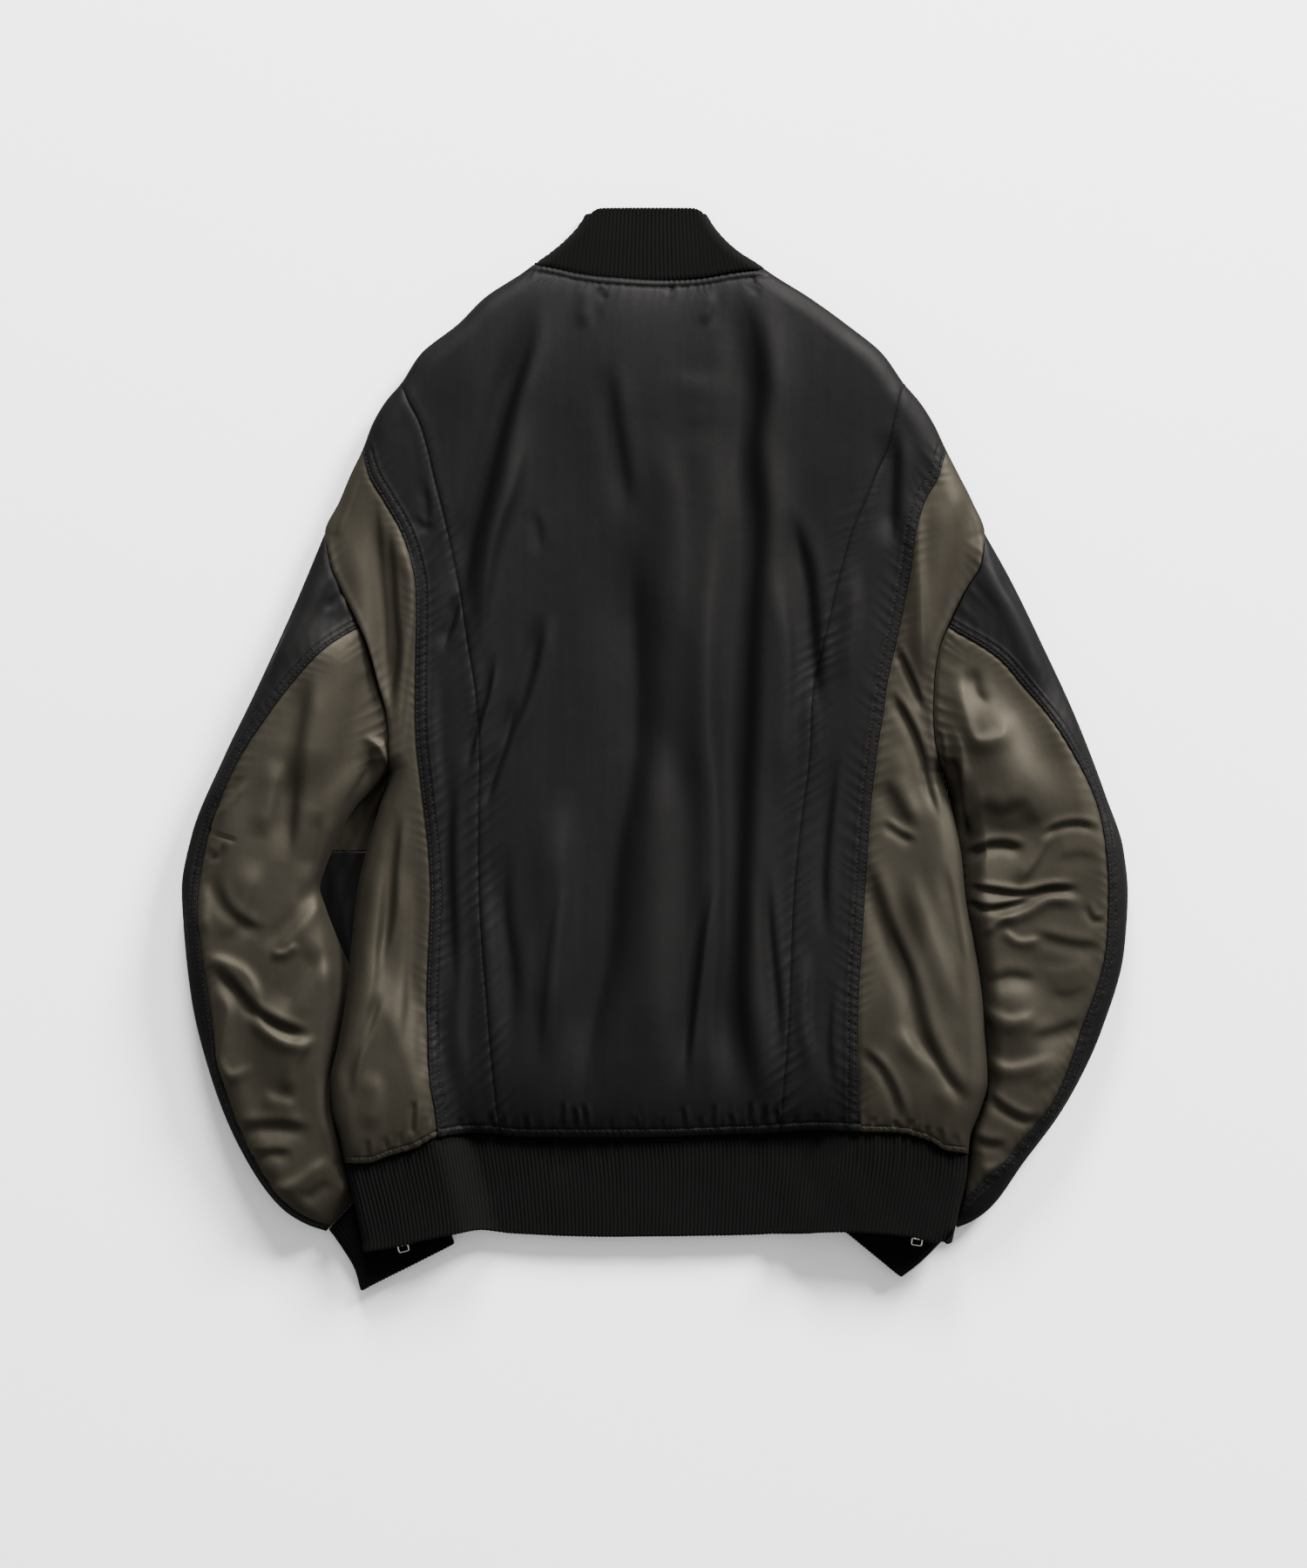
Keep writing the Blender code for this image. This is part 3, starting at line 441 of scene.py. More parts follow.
def arm_level(stack):
    """Levels in a sleeve, whose height is given point by point: it keeps
    under the body, and swells up as soon as it is clear of it."""
    def levels(x, y):
        beside = beside_body(x, y)
        low, top = body_levels(x, y)
        fold = FOLD_SHARE * (top - low)
        inside = np.clip(-beside / (FOLD_REACH * (top - low)), 0.0, 1.0)
        under = low + fold * (1.0 - np.sqrt(1.0 - (1.0 - inside) ** 2))
        room = under - CLEAR + 1.25 * np.maximum(0.0, beside)
        room = soft_min(stack, np.maximum(RIB_STACK, room), 5.0)
        top = stack + (room - stack) * below_underarm(y)
        return np.zeros_like(x), np.maximum(top, RIB_STACK * 0.98)
    return levels


def rib_levels(x, y):
    return np.zeros_like(x), np.full_like(x, RIB_STACK)


def form(x, y, levels, lines, upper, edge=None, split=0.5 * GAP):
    """Points and normals of a face of the form over (x, y), and how far
    each point is from the fold.  edge marks points that lie on it."""
    low, top = levels(x, y)
    stack = top - low
    fold = low + FOLD_SHARE * stack
    reach = FOLD_REACH * stack
    d, away = nearest(lines, x, y)
    if edge is not None:
        d = np.where(edge, 0.0, d)
    c = 1.0 - np.minimum(1.0, d / reach)
    s = np.sqrt(np.maximum(0.0, 1.0 - c * c))
    e = 0.6
    pick = 1 if upper else 0
    sx = (levels(x + e, y)[pick] - levels(x - e, y)[pick]) / (2 * e)
    sy = (levels(x, y + e)[pick] - levels(x, y - e)[pick]) / (2 * e)
    sx, sy = np.clip(sx, -1.5, 1.5), np.clip(sy, -1.5, 1.5)
    if upper:
        rise = top - fold
        z = fold + rise * s + split * (1.0 - s)
        k = rise * c / reach
        n = np.stack((-away[:, 0] * k - sx * s, -away[:, 1] * k - sy * s, s), 1)
    else:
        rise = fold - low
        z = fold - rise * s - split * (1.0 - s)
        k = rise * c / reach
        n = np.stack((-away[:, 0] * k + sx * s, -away[:, 1] * k + sy * s, -s), 1)
    return np.stack((x, y, z), 1), normalised(n), d


# ----------------------------------------------------- creases --
# Rows: bump, flank, width (mm), share of the length that fades at each end,
# points (image).  bump raises (+) or sinks (-) the line itself.  flank makes
# a slope across it: + falls away from the light, which shows as a dark band,
# - faces the light.
BACK_FOLDS = (
    (-3.2, 6.0, 12.0, 0.30, ((617, 338), (606, 393), (583, 470), (560, 565), (540, 650), (530, 722))),
    (3.0, -1.5, 9.0, 0.35, ((612, 470), (592, 556), (570, 617), (558, 682), (550, 770))),
    (-0.5, 0.5, 6.0, 0.40, ((611, 580), (618, 606), (622, 640))),
    (-1.2, 2.8, 7.5, 0.30, ((624, 700), (617, 745), (607, 786), (590, 836), (578, 862))),
    (-2.0, 1.6, 6.0, 0.35, ((594, 795), (584, 842), (566, 897), (552, 945))),
    (-1.2, 2.2, 3.6, 0.30, ((569, 748), (559, 800), (546, 845), (536, 890))),
    (-4.2, 2.6, 22.0, 0.18, ((724, 600), (729, 700), (732, 800), (728, 883), (711, 966), (699, 1090), (678, 1194), (665, 1285))),
    (2.2, -2.6, 15.0, 0.30, ((655, 900), (648, 966), (643, 1090), (640, 1225))),
    (1.8, -3.6, 19.0, 0.25, ((752, 820), (765, 900), (768, 1040), (766, 1150), (760, 1262))),
    (-2.8, 6.2, 15.0, 0.14, ((838, 318), (862, 376), (869, 441), (862, 518), (868, 594), (862, 709), (858, 824), (853, 924), (848, 1060), (849, 1173), (864, 1256), (874, 1292))),
    (3.4, -2.0, 13.0, 0.28, ((822, 560), (817, 632), (813, 740), (814, 847), (823, 924), (825, 1057), (817, 1194), (816, 1290))),
    (-1.0, 2.4, 5.0, 0.30, ((820, 1008), (808, 1057), (799, 1123), (791, 1194), (785, 1252))),
    (-2.4, 2.0, 9.0, 0.30, ((903, 580), (924, 648), (933, 728), (941, 830))),
    (2.0, -1.8, 9.0, 0.30, ((893, 640), (905, 740), (903, 840), (898, 935))),
    (0.3, -0.5, 12.0, 0.45, ((762, 424), (800, 438), (838, 432))),
    (-0.2, 0.3, 11.0, 0.45, ((770, 482), (806, 490), (836, 476))),
    (0.5, -1.1, 6.0, 0.35, ((681, 322), (677, 345), (674, 380))),
    (0.5, -1.0, 5.0, 0.40, ((822, 330), (818, 352), (808, 378))),
    (-0.4, 0.6, 3.0, 0.35, ((688, 328), (693, 338), (700, 344))),
    (-0.4, 0.6, 3.0, 0.35, ((776, 325), (770, 332), (762, 338))),
    (-0.5, 0.7, 3.2, 0.35, ((868, 310), (866, 322), (867, 340))),
    (-1.0, 1.6, 10.0, 0.30, ((700, 410), (704, 470), (716, 540), (724, 600))),
    (1.0, -1.4, 14.0, 0.30, ((760, 480), (775, 560), (780, 650), (772, 760))),
    (-1.0, 1.4, 8.0, 0.35, ((650, 985), (632, 1060), (622, 1150), (618, 1240))),
    (-1.2, 1.2, 10.0, 0.35, ((585, 960), (580, 1040), (590, 1120), (588, 1200))),
    (1.2, -1.4, 9.0, 0.35, ((560, 985), (566, 1060), (572, 1150), (570, 1230))),
    (-1.0, 1.8, 6.0, 0.35, ((880, 980), (884, 1060), (893, 1150), (897, 1230))),
    # side backs
    (-1.6, 1.8, 5.0, 0.35, ((529, 680), (520, 715), (507, 750))),
    (-0.5, 0.8, 4.5, 0.35, ((485, 545), (492, 590), (486, 620))),
    (-0.3, 0.6, 4.0, 0.35, ((478, 590), (486, 604), (500, 600))),
    (1.0, -1.2, 6.0, 0.35, ((502, 760), (500, 840), (506, 930), (503, 1000))),
    (-1.2, 1.6, 7.0, 0.30, ((524, 880), (517, 960), (519, 1050), (523, 1150))),
    (0.9, -1.2, 6.0, 0.35, ((538, 1080), (530, 1160), (533, 1250))),
    (-2.0, 2.8, 9.0, 0.30, ((1028, 490), (1026, 560), (1024, 632))),
    (1.2, -1.2, 8.0, 0.35, ((985, 640), (980, 720), (968, 800))),
    (-1.2, 1.8, 6.0, 0.35, ((965, 850), (952, 930), (946, 1010), (949, 1090))),
    (1.1, -1.5, 6.0, 0.35, ((930, 1080), (925, 1160), (935, 1240))),
    (-0.9, 1.5, 5.0, 0.35, ((957, 1120), (951, 1190), (958, 1262))),
    # olive, left
    (2.2, -2.4, 6.0, 0.22, ((452, 590), (462, 622), (474, 661), (475, 701), (469, 758), (462, 816), (455, 880))),
    (-2.0, 2.4, 5.0, 0.25, ((446, 600), (450, 650), (453, 701), (456, 744), (447, 816))),
    (-0.8, 2.6, 5.0, 0.25, ((461, 925), (454, 988), (449, 1058), (438, 1118))),
    (2.4, -1.6, 7.0, 0.22, ((440, 985), (435, 1045), (426, 1145), (406, 1258))),
    (-1.0, 2.6, 5.0, 0.25, ((440, 1138), (425, 1180), (410, 1218), (399, 1258))),
    (1.2, -2.0, 7.0, 0.25, ((472, 990), (468, 1060), (463, 1150), (457, 1215))),
    (-1.0, 1.8, 5.0, 0.30, ((485, 1160), (489, 1200), (492, 1240))),
    (-1.2, 1.4, 2.6, 0.20, ((478, 1262), (476, 1285), (476, 1303))),
    (1.4, -1.4, 8.0, 0.30, ((432, 1225), (436, 1262), (428, 1300))),
    (-1.4, 2.0, 6.0, 0.30, ((430, 560), (437, 640), (443, 720), (444, 800))),
    (0.8, -4.0, 13.0, 0.30, ((416, 590), (424, 680), (432, 760), (436, 830))),
    (0.8, -0.6, 2.6, 0.30, ((412, 550), (398, 585), (386, 615))),
    # olive, right
    (2.6, -1.6, 7.0, 0.25, ((1060, 560), (1054, 620), (1057, 694), (1059, 756), (1054, 812))),
    (-1.2, 2.0, 3.6, 0.25, ((1027, 738), (1048, 784), (1062, 820))),
    (-1.6, 2.8, 4.6, 0.22, ((1018, 790), (1031, 808), (1046, 835), (1059, 868), (1069, 906), (1078, 942))),
    (-1.2, 2.2, 9.0, 0.30, ((1012, 892), (1030, 925), (1046, 955))),
    (-0.6, 1.6, 4.0, 0.30, ((1011, 942), (1030, 955), (1052, 967))),
    (-2.6, 3.8, 8.5, 0.18, ((992, 978), (1015, 1055), (1043, 1124), (1063, 1193), (1091, 1244), (1120, 1268))),
    (2.2, -1.8, 7.0, 0.25, ((1030, 1172), (1045, 1198), (1074, 1229), (1099, 1278))),
    (-1.2, 2.2, 4.6, 0.25, ((985, 1200), (1012, 1227), (1029, 1260), (1037, 1290))),
    (1.5, -2.0, 9.0, 0.30, ((1042, 985), (1062, 1050), (1083, 1110), (1100, 1170))),
    (-1.0, 1.6, 6.0, 0.30, ((1083, 985), (1096, 1050), (1106, 1120))),
    (1.2, -1.2, 8.0, 0.30, ((1035, 850), (1040, 900), (1058, 955))),
    (0.8, -6.0, 17.0, 0.25, ((1106, 545), (1094, 620), (1080, 700), (1066, 790))),
)
ARM_L_FOLDS = (
    (4.0, -10.0, 25.0, 0.28, ((408, 700), (400, 780), (384, 850), (362, 925))),
    (0.5, 3.6, 26.0, 0.35, ((318, 1010), (306, 1120), (312, 1230), (330, 1320))),
    (-1.0, 5.0, 22.0, 0.35, ((250, 900), (246, 980), (252, 1060))),
    (-2.8, 4.2, 9.5, 0.22, ((356, 770), (351, 805), (343, 855), (338, 919), (332, 992))),
    (2.6, -1.6, 9.0, 0.30, ((326, 870), (315, 914), (301, 965))),
    (2.6, -0.6, 4.2, 0.30, ((414, 848), (430, 852), (442, 866), (446, 888))),
    (-3.6, 2.0, 7.0, 0.28, ((424, 856), (428, 893), (421, 918), (396, 945))),
    (-0.7, 1.7, 4.5, 0.30, ((240, 941), (264, 914), (287, 890))),
    (-1.3, 0.4, 1.7, 0.15, ((234, 949), (252, 958), (275, 966))),
    (-0.6, 1.6, 3.2, 0.30, ((235, 969), (250, 982), (258, 966))),
    (-1.0, 3.0, 7.5, 0.28, ((368, 1014), (347, 1051), (322, 1079), (308, 1097))),
    (1.6, -1.0, 3.6, 0.30, ((310, 1092), (330, 1092), (343, 1080))),
    (2.6, -1.6, 6.5, 0.25, ((232, 1098), (261, 1103), (284, 1116), (297, 1140), (299, 1158))),
    (-1.6, 3.2, 5.2, 0.22, ((247, 1104), (274, 1134), (298, 1161), (324, 1175), (362, 1188))),
    (2.2, -1.8, 5.2, 0.25, ((290, 1156), (309, 1181), (338, 1196), (361, 1192))),
    (-2.6, 3.2, 12.5, 0.30, ((376, 1088), (345, 1130), (322, 1168))),
    (2.3, -0.8, 5.2, 0.25, ((245, 1129), (264, 1158), (259, 1189), (255, 1219), (265, 1233), (286, 1227), (300, 1229))),
    (2.1, -1.4, 6.2, 0.28, ((334, 1260), (343, 1216), (366, 1187))),
    (-1.2, 2.7, 6.2, 0.28, ((264, 1297), (296, 1291), (322, 1290), (361, 1297))),
    (2.1, -1.7, 6.2, 0.28, ((303, 1365), (338, 1357), (360, 1341), (380, 1325))),
    (-1.0, 2.0, 6.0, 0.30, ((248, 1000), (262, 1040), (290, 1062), (312, 1068))),
    (1.8, -2.0, 9.0, 0.30, ((300, 985), (292, 1020), (272, 1060), (246, 1080))),
    (-1.4, 1.8, 8.0, 0.30, ((372, 930), (362, 975), (358, 1012))),
    (1.4, -1.4, 7.0, 0.30, ((300, 1255), (318, 1262), (345, 1268))),
    (-1.2, 1.8, 5.0, 0.30, ((283, 1328), (312, 1322), (340, 1324))),
    (-0.9, 1.4, 5.0, 0.30, ((345, 1375), (362, 1366), (378, 1352))),
    (1.0, -1.0, 5.0, 0.30, ((240, 1010), (238, 1045), (240, 1075))),
    # black shoulder part
    (1.6, -1.8, 7.0, 0.30, ((385, 650), (366, 690), (340, 738), (312, 790))),
    (-1.0, 1.4, 5.0, 0.30, ((400, 672), (388, 690), (372, 704))),
    (-0.8, 1.2, 4.0, 0.30, ((335, 700), (322, 735), (303, 770))),
)
ARM_R_FOLDS = (
    (1.6, -2.2, 8.5, 0.25, ((1129, 622), (1144, 667), (1165, 697), (1184, 734), (1210, 798))),
    (3.0, -1.0, 7.5, 0.25, ((1100, 760), (1106, 812), (1122, 850), (1145, 845), (1155, 812))),
    (-2.4, 1.4, 8.0, 0.35, ((1117, 765), (1124, 800), (1137, 812))),
    (3.5, -7.5, 24.0, 0.34, ((1112, 770), (1142, 822), (1176, 880), (1206, 940))),
    (1.0, -5.0, 22.0, 0.35, ((1150, 1100), (1180, 1150), (1190, 1215))),
    (-1.5, 4.5, 18.0, 0.35, ((1108, 930), (1150, 955), (1210, 935))),
    (2.4, -1.0, 4.8, 0.25, ((1090, 826), (1103, 863), (1107, 909), (1106, 964))),
    (-0.9, 1.7, 3.2, 0.30, ((1077, 836), (1080, 858), (1083, 880))),
    (-1.6, 2.2, 4.2, 0.28, ((1086, 874), (1091, 906), (1096, 946))),
    (-2.6, 2.6, 12.0, 0.30, ((1116, 920), (1146, 934), (1184, 918))),
    (-1.1, 2.1, 3.6, 0.28, ((1190, 961), (1213, 948), (1238, 945), (1264, 953))),
    (2.2, -1.8, 6.0, 0.28, ((1163, 1018), (1184, 993), (1199, 968), (1210, 948))),
    (-1.6, 2.9, 5.0, 0.25, ((1103, 983), (1126, 972), (1153, 969), (1178, 976))),
    (-1.6, 3.2, 3.6, 0.22, ((1106, 1016), (1139, 1021), (1174, 1025), (1203, 1019), (1240, 1019))),
    (-1.2, 2.7, 3.6, 0.25, ((1107, 1032), (1132, 1041), (1160, 1037), (1188, 1030))),
    (2.1, -1.8, 4.8, 0.25, ((1128, 1050), (1150, 1051), (1174, 1045), (1202, 1030), (1246, 1034))),
    (1.6, -0.8, 3.6, 0.28, ((1127, 1074), (1146, 1055), (1169, 1048))),
    (1.6, -1.0, 4.0, 0.28, ((1147, 1063), (1167, 1079), (1196, 1076))),
    (-0.9, 1.6, 6.0, 0.30, ((1180, 1070), (1229, 1083), (1269, 1087))),
    (-0.6, 1.4, 3.2, 0.30, ((1244, 1035), (1256, 1055), (1269, 1051))),
    (-1.6, 1.8, 7.5, 0.32, ((1128, 1130), (1155, 1120), (1192, 1126))),
    (1.7, -1.6, 6.5, 0.30, ((1126, 1148), (1153, 1169), (1192, 1162))),
    (-0.9, 1.9, 7.0, 0.32, ((1176, 1192), (1215, 1182), (1248, 1168))),
    (1.9, -1.6, 6.4, 0.28, ((1126, 1207), (1153, 1224), (1180, 1221), (1212, 1207))),
    (-1.1, 2.4, 4.8, 0.28, ((1129, 1252), (1153, 1272), (1180, 1283), (1197, 1278))),
    (-0.9, 1.8, 5.2, 0.30, ((1112, 1304), (1132, 1311), (1156, 1313))),
    (0.6, -0.8, 8.0, 0.35, ((1180, 1108), (1220, 1114), (1256, 1100))),
    (-0.5, 0.8, 6.0, 0.35, ((1200, 1138), (1226, 1142), (1250, 1130))),
    (0.9, -1.0, 7.0, 0.32, ((1180, 1248), (1204, 1236), (1226, 1208))),
    (1.2, -1.2, 6.0, 0.30, ((1120, 1340), (1142, 1338), (1165, 1322))),
    (-0.5, 0.9, 7.0, 0.35, ((1206, 992), (1236, 982), (1264, 988))),
    (-7.5, 3.0, 5.5, 0.22, ((1093, 868), (1099, 900), (1102, 935), (1103, 968))),
    (-0.9, 1.4, 4.0, 0.30, ((1150, 655), (1172, 692), (1190, 724))),
)
# hidden faces, in the same manner
FRONT_FOLDS = (
    (-1.0, 1.0, 9.0, 0.30, ((480, 560), (500, 700), (505, 850), (495, 980))),
    (1.0, -1.0, 11.0, 0.30, ((560, 420), (590, 620), (600, 820))),
    (-1.0, 1.0, 12.0, 0.30, ((640, 520), (660, 760), (650, 1010), (668, 1230))),
    (-1.0, 1.0, 10.0, 0.30, ((900, 430), (880, 640), (892, 860), (872, 1100))),
    (1.0, -1.0, 12.0, 0.30, ((980, 560), (960, 760), (975, 960), (955, 1180))),
    (-1.1, 1.2, 7.0, 0.30, ((1020, 640), (1010, 780), (1030, 900))),
)
UNDER_FOLDS = (
    (-1.2, 1.0, 8.0, 0.30, ((250, 930), (300, 1000), (345, 1030))),
    (1.2, -1.0, 9.0, 0.30, ((240, 1080), (300, 1100), (360, 1090))),
    (-1.2, 1.0, 7.0, 0.30, ((250, 1180), (310, 1210), (370, 1200))),
    (-1.0, 1.0, 7.0, 0.30, ((290, 1300), (330, 1310), (370, 1290))),
    (-1.2, 1.0, 8.0, 0.30, ((1110, 900), (1170, 960), (1240, 970))),
    (1.2, -1.0, 8.0, 0.30, ((1120, 1060), (1190, 1080), (1270, 1060))),
    (-1.2, 1.0, 7.0, 0.30, ((1110, 1180), (1180, 1200), (1240, 1170))),
    (1.0, -1.0, 7.0, 0.30, ((1120, 1290), (1160, 1290), (1200, 1270))),
)
# short puckers that the hem draws up: x, upper end y, lean, depth (image, mm)
HEM_PUCKERS = (
    (530, 1283, 2, 0.9), (566, 1276, -3, 0.8), (604, 1280, 2, 0.9),
    (645, 1262, 3, 1.5), (662, 1268, -2, 1.7), (674, 1264, -4, 1.4),
    (702, 1284, 2, 0.8), (731, 1280, -2, 0.9), (760, 1284, 3, 0.8),
    (786, 1268, -2, 1.3), (804, 1282, 2, 0.9), (819, 1266, 3, 1.3),
    (842, 1278, -2, 0.9), (861, 1264, 2, 1.5), (877, 1266, 4, 1.6),
    (894, 1270, -3, 1.3), (915, 1280, 2, 0.9), (941, 1276, -3, 0.9),
    (968, 1282, 2, 0.8), (1003, 1281, 2, 1.0), (1029, 1284, -3, 1.3),
    (1046, 1284, 2, 1.2), (1064, 1292, 2, 0.8), (1081, 1292, -2, 1.2),
    (1100, 1300, -2, 0.9), (424, 1306, 2, 1.0), (446, 1302, -2, 0.9),
    (461, 1298, 2, 0.9), (491, 1280, 1, 1.0),
)


class Folds:
    """A table of creases, ready to be evaluated anywhere in the plan."""

    def __init__(self, table, scale=1.0):
        self.rows = []
        for bump, flank, width, fade, points in table:
            line = Line(rounded(np.stack(plan(*zip(*points)), 1)))
            way = line.p[-1] - line.p[0]
            # the line's right-hand side, and whether the light is there
            right = np.array((way[1], -way[0]))
            towards = 1.0 if right @ np.array((1.0, 0.85)) >= 0 else -1.0
            self.rows.append((bump * scale, flank * scale, width, fade,
                              line, towards))

    def __call__(self, x, y):
        out = np.zeros_like(x)
        for bump, flank, width, fade, line, towards in self.rows:
            reach = 2.7 * width
            lo, hi = line.p.min(0) - reach, line.p.max(0) + reach
            at = np.flatnonzero((x > lo[0]) & (x < hi[0])
                                & (y > lo[1]) & (y < hi[1]))
            if not len(at):
                continue
            d, side, place, _ = line.to(x[at], y[at])
            s = side * towards * d / width
            t = place / line.length
            # creases are sharper than the ridges between them
            q = 1.7 if bump < 0 else 1.15
            peak = np.exp(-(q * np.sqrt(s * s + 0.012)) ** 1.45)
            out[at] += ((bump * peak + 1.165 * flank * s * np.exp(-s * s))
                        * soft(t / fade) * soft((1.0 - t) / fade))
        return out


def hem_pucker_rows():
    rows = []
    for px, py, lean, depth in HEM_PUCKERS:
        x, _ = plan(px, py)
        foot = MID_PY - (HEM_Y + float(HEM_AT(x)) + 4.5) / SCALE
        rows.append((-0.6 * depth, depth, 2.6, 0.34,
                     ((px + lean, py), (px + 0.3 * lean, 0.5 * (py + foot)), (px, foot))))
    return tuple(rows)


class Both:
    """Two tables of creases together."""

    def __init__(self, *sets):
        self.sets = sets

    def __call__(self, x, y):
        return sum(one(x, y) for one in self.sets)


# the black cloth is thinner than the olive and creases deeper
BLACK_ROWS = 37
FOLD_SETS = {"back": Both(Folds(BACK_FOLDS[:BLACK_ROWS], 1.85),
                          Folds(BACK_FOLDS[BLACK_ROWS:] + hem_pucker_rows(), 1.35)),
             "arm_L": Folds(ARM_L_FOLDS, 1.2), "arm_R": Folds(ARM_R_FOLDS, 1.2),
             "front": Folds(FRONT_FOLDS), "under": Folds(UNDER_FOLDS)}
BROAD, MIDDLE, SMALL = Noise(3, 74.0), Noise(11, 27.0), Noise(5, 9.0)
WAVER = Noise(23, 16.0)


def puckers(place, s, pitch, slant, reach, seed):
    """Irregular little folds that a seam draws up across itself."""
    p = place + slant * s
    row = np.full_like(p, 40.0 * seed)
    phase = p / pitch + 0.75 * WAVER(p, row)
    strong = 0.35 + 0.65 * np.clip(0.55 + 1.2 * MIDDLE(p, row + 13.0), 0, 1)
    wave = np.sin(2 * np.pi * phase)
    wave = wave - 0.28 * np.cos(4 * np.pi * phase)
    return wave * strong * np.exp(-(np.abs(s) / reach) ** 1.6)


# ------------------------------------------------------------ seam fields --
def sleeve_plan(side, s, k):
    """Place in the plan: s along the sleeve (mm), k across it, 0 to 1."""
    _, c, _ = ARMS[side]
    x = c[0](s) + (c[2](s) - c[0](s)) * k
    y = c[1](s) + (c[3](s) - c[1](s)) * k
    edge = EDGE_L if side == "L" else EDGE_R
    sign = -1.0 if side == "L" else 1.0
    hy = TIP_Y + (UNDERARM_Y - TIP_Y) * k
    hx = BODY_AT[edge](hy) + sign * 2.0 * GAP * soft(k / 0.06)
    t = _table_start(side)
    x0 = t[0] + (t[2] - t[0]) * k
    y0 = t[1] + (t[3] - t[1]) * k
    fade = 1.0 - soft(s / 46.0)
    return x + (hx - x0) * fade, y + (hy - y0) * fade


def _table_start(side):
    return (ARM_L if side == "L" else ARM_R)[0]


PRINCESS = {"L": Line(column_points(SEAM_L, 262.0, HEM_Y)),
            "R": Line(column_points(SEAM_R, 262.0, HEM_Y))}
COLOUR = {"L": Line(column_points(OLIVE_L, 213.0, HEM_Y)),
          "R": Line(column_points(OLIVE_R, 213.0, HEM_Y))}


def sleeve_seam(side):
    total, c, _ = ARMS[side]
    s = np.linspace(0.0, total, int(total / 2.5))
    return Line(np.stack(sleeve_plan(side, s, c[4](s)), 1))


SLEEVE_SEAM = {"L": sleeve_seam("L"), "R": sleeve_seam("R")}
BAND = 8.4          # seam allowance that is stitched down on the black side
ROW_A, ROW_B = 1.5, 6.9


def stitched_seam(u, place, seed, width=BAND, far=ROW_B):
    """Relief of a seam with two rows of stitches on its black side; u is
    the distance from the seam, + on that side."""
    out = -0.8 * np.exp(-(np.minimum(u, 0.0) / 2.0) ** 2) * (u < 0.0)
    out += 0.55 * (soft(u / 0.9) - soft((u - width) / 2.4)) * (u >= 0.0)
    out -= 0.55 * np.exp(-((u - ROW_A) / 0.75) ** 2)
    out -= 0.65 * np.exp(-((u - far) / 0.8) ** 2)
    inside = (u > 0.0) * soft(u / 1.5) * soft((width + 1.0 - u) / 3.0)
    out += 0.30 * puckers(place, u - 4.0, 5.6, 0.45, 9.0, seed) * inside
    out += 0.24 * puckers(place, u - width, 9.5, 0.6, 9.0, seed + 3) * (u > width - 2.0)
    out += 0.20 * puckers(place, u, 8.5, -0.5, 8.0, seed + 6) * (u < 0.0)
    return out


def near_points(line, x, y, reach):
    lo, hi = line.p.min(0) - reach, line.p.max(0) + reach
    return np.flatnonzero((x > lo[0]) & (x < hi[0]) & (y > lo[1]) & (y < hi[1]))


def back_relief(x, y):
    """Everything that raises or sinks the upper face of the body."""
    out = FOLD_SETS["back"](x, y)
    out += 1.6 * BROAD(x * 1.4, y * 0.6) + 0.30 * MIDDLE(x * 1.2, y * 0.5) + 0.04 * SMALL(x, y)
    for k, (side, black) in enumerate((("L", 1.0), ("R", -1.0))):
        line = PRINCESS[side]
        at = near_points(line, x, y, 24.0)
        d, way, place, _ = line.to(x[at], y[at])
        s = -way * d            # + towards the jacket's right
        low = soft((place - 60.0) / 110.0)
        out[at] += (-0.7 * np.exp(-(d / 1.2) ** 2) + 0.25 * np.exp(-((d - 4.5) / 3.0) ** 2)
                    + 0.34 * low * puckers(place, s, 11.5, 0.85, 12.5, 2 + k)
                    + 0.16 * puckers(place, s, 5.1, 0.5, 6.0, 12 + k))
        line = COLOUR[side]
        at = near_points(line, x, y, 34.0)
        d, way, place, _ = line.to(x[at], y[at])
        u = -way * d * black    # + on the black side
        out[at] += stitched_seam(u, place, 20 + 9 * k)
    # rolled band under the collar, and the stitched-down strip at the hem
    h = NECK_Y + NECK_AT(x) - y
    rope = np.clip(h / 5.0, 0.0, 1.0)
    at = h < 26.0
    out += at * (1.1 * np.sin(np.pi * rope) ** 0.7 * (h < 5.0)
                 - 0.85 * np.exp(-((h - 5.3) / 0.9) ** 2) - 0.8 * np.exp(-(h / 0.7) ** 2)
                 + 0.42 * puckers(x, h - 2.5, 3.9, 0.55, 4.2, 31)
                 + 0.4 * puckers(x, h - 6.0, 7.0, 0.3, 9.0, 32) * (h > 5.0))
    h = y - (HEM_Y + HEM_AT(x))
    width = np.where((x < -153.5) | (x > 146.0), 4.2, 5.8)
    at = h < 30.0
    out += at * (0.6 * (soft(h / 0.8) - soft((h - width) / 1.2))
                 - 0.9 * np.exp(-((h - width - 0.4) / 0.9) ** 2) - 0.7 * np.exp(-(h / 0.7) ** 2)
                 + 0.4 * puckers(x, h - 2.5, 5.4, 0.35, 5.5, 41) * (h < width + 1.0)
                 + 0.42 * puckers(x, h - width, 9.5, 0.1, 11.0, 42) * (h >= width))
    # edge that the sleeve is set into
    for side in "LR":
        line = ARMHOLE[side]
        at = near_points(line, x, y, 20.0)
        d, _, place, _ = line.to(x[at], y[at])
        out[at] += (-0.35 * np.exp(-(d / 0.8) ** 2) + 0.7 * np.exp(-((d - 2.6) / 2.4) ** 2)
                    + 0.3 * puckers(place, d, 9.0, 0.5, 9.0, 51))
    return out


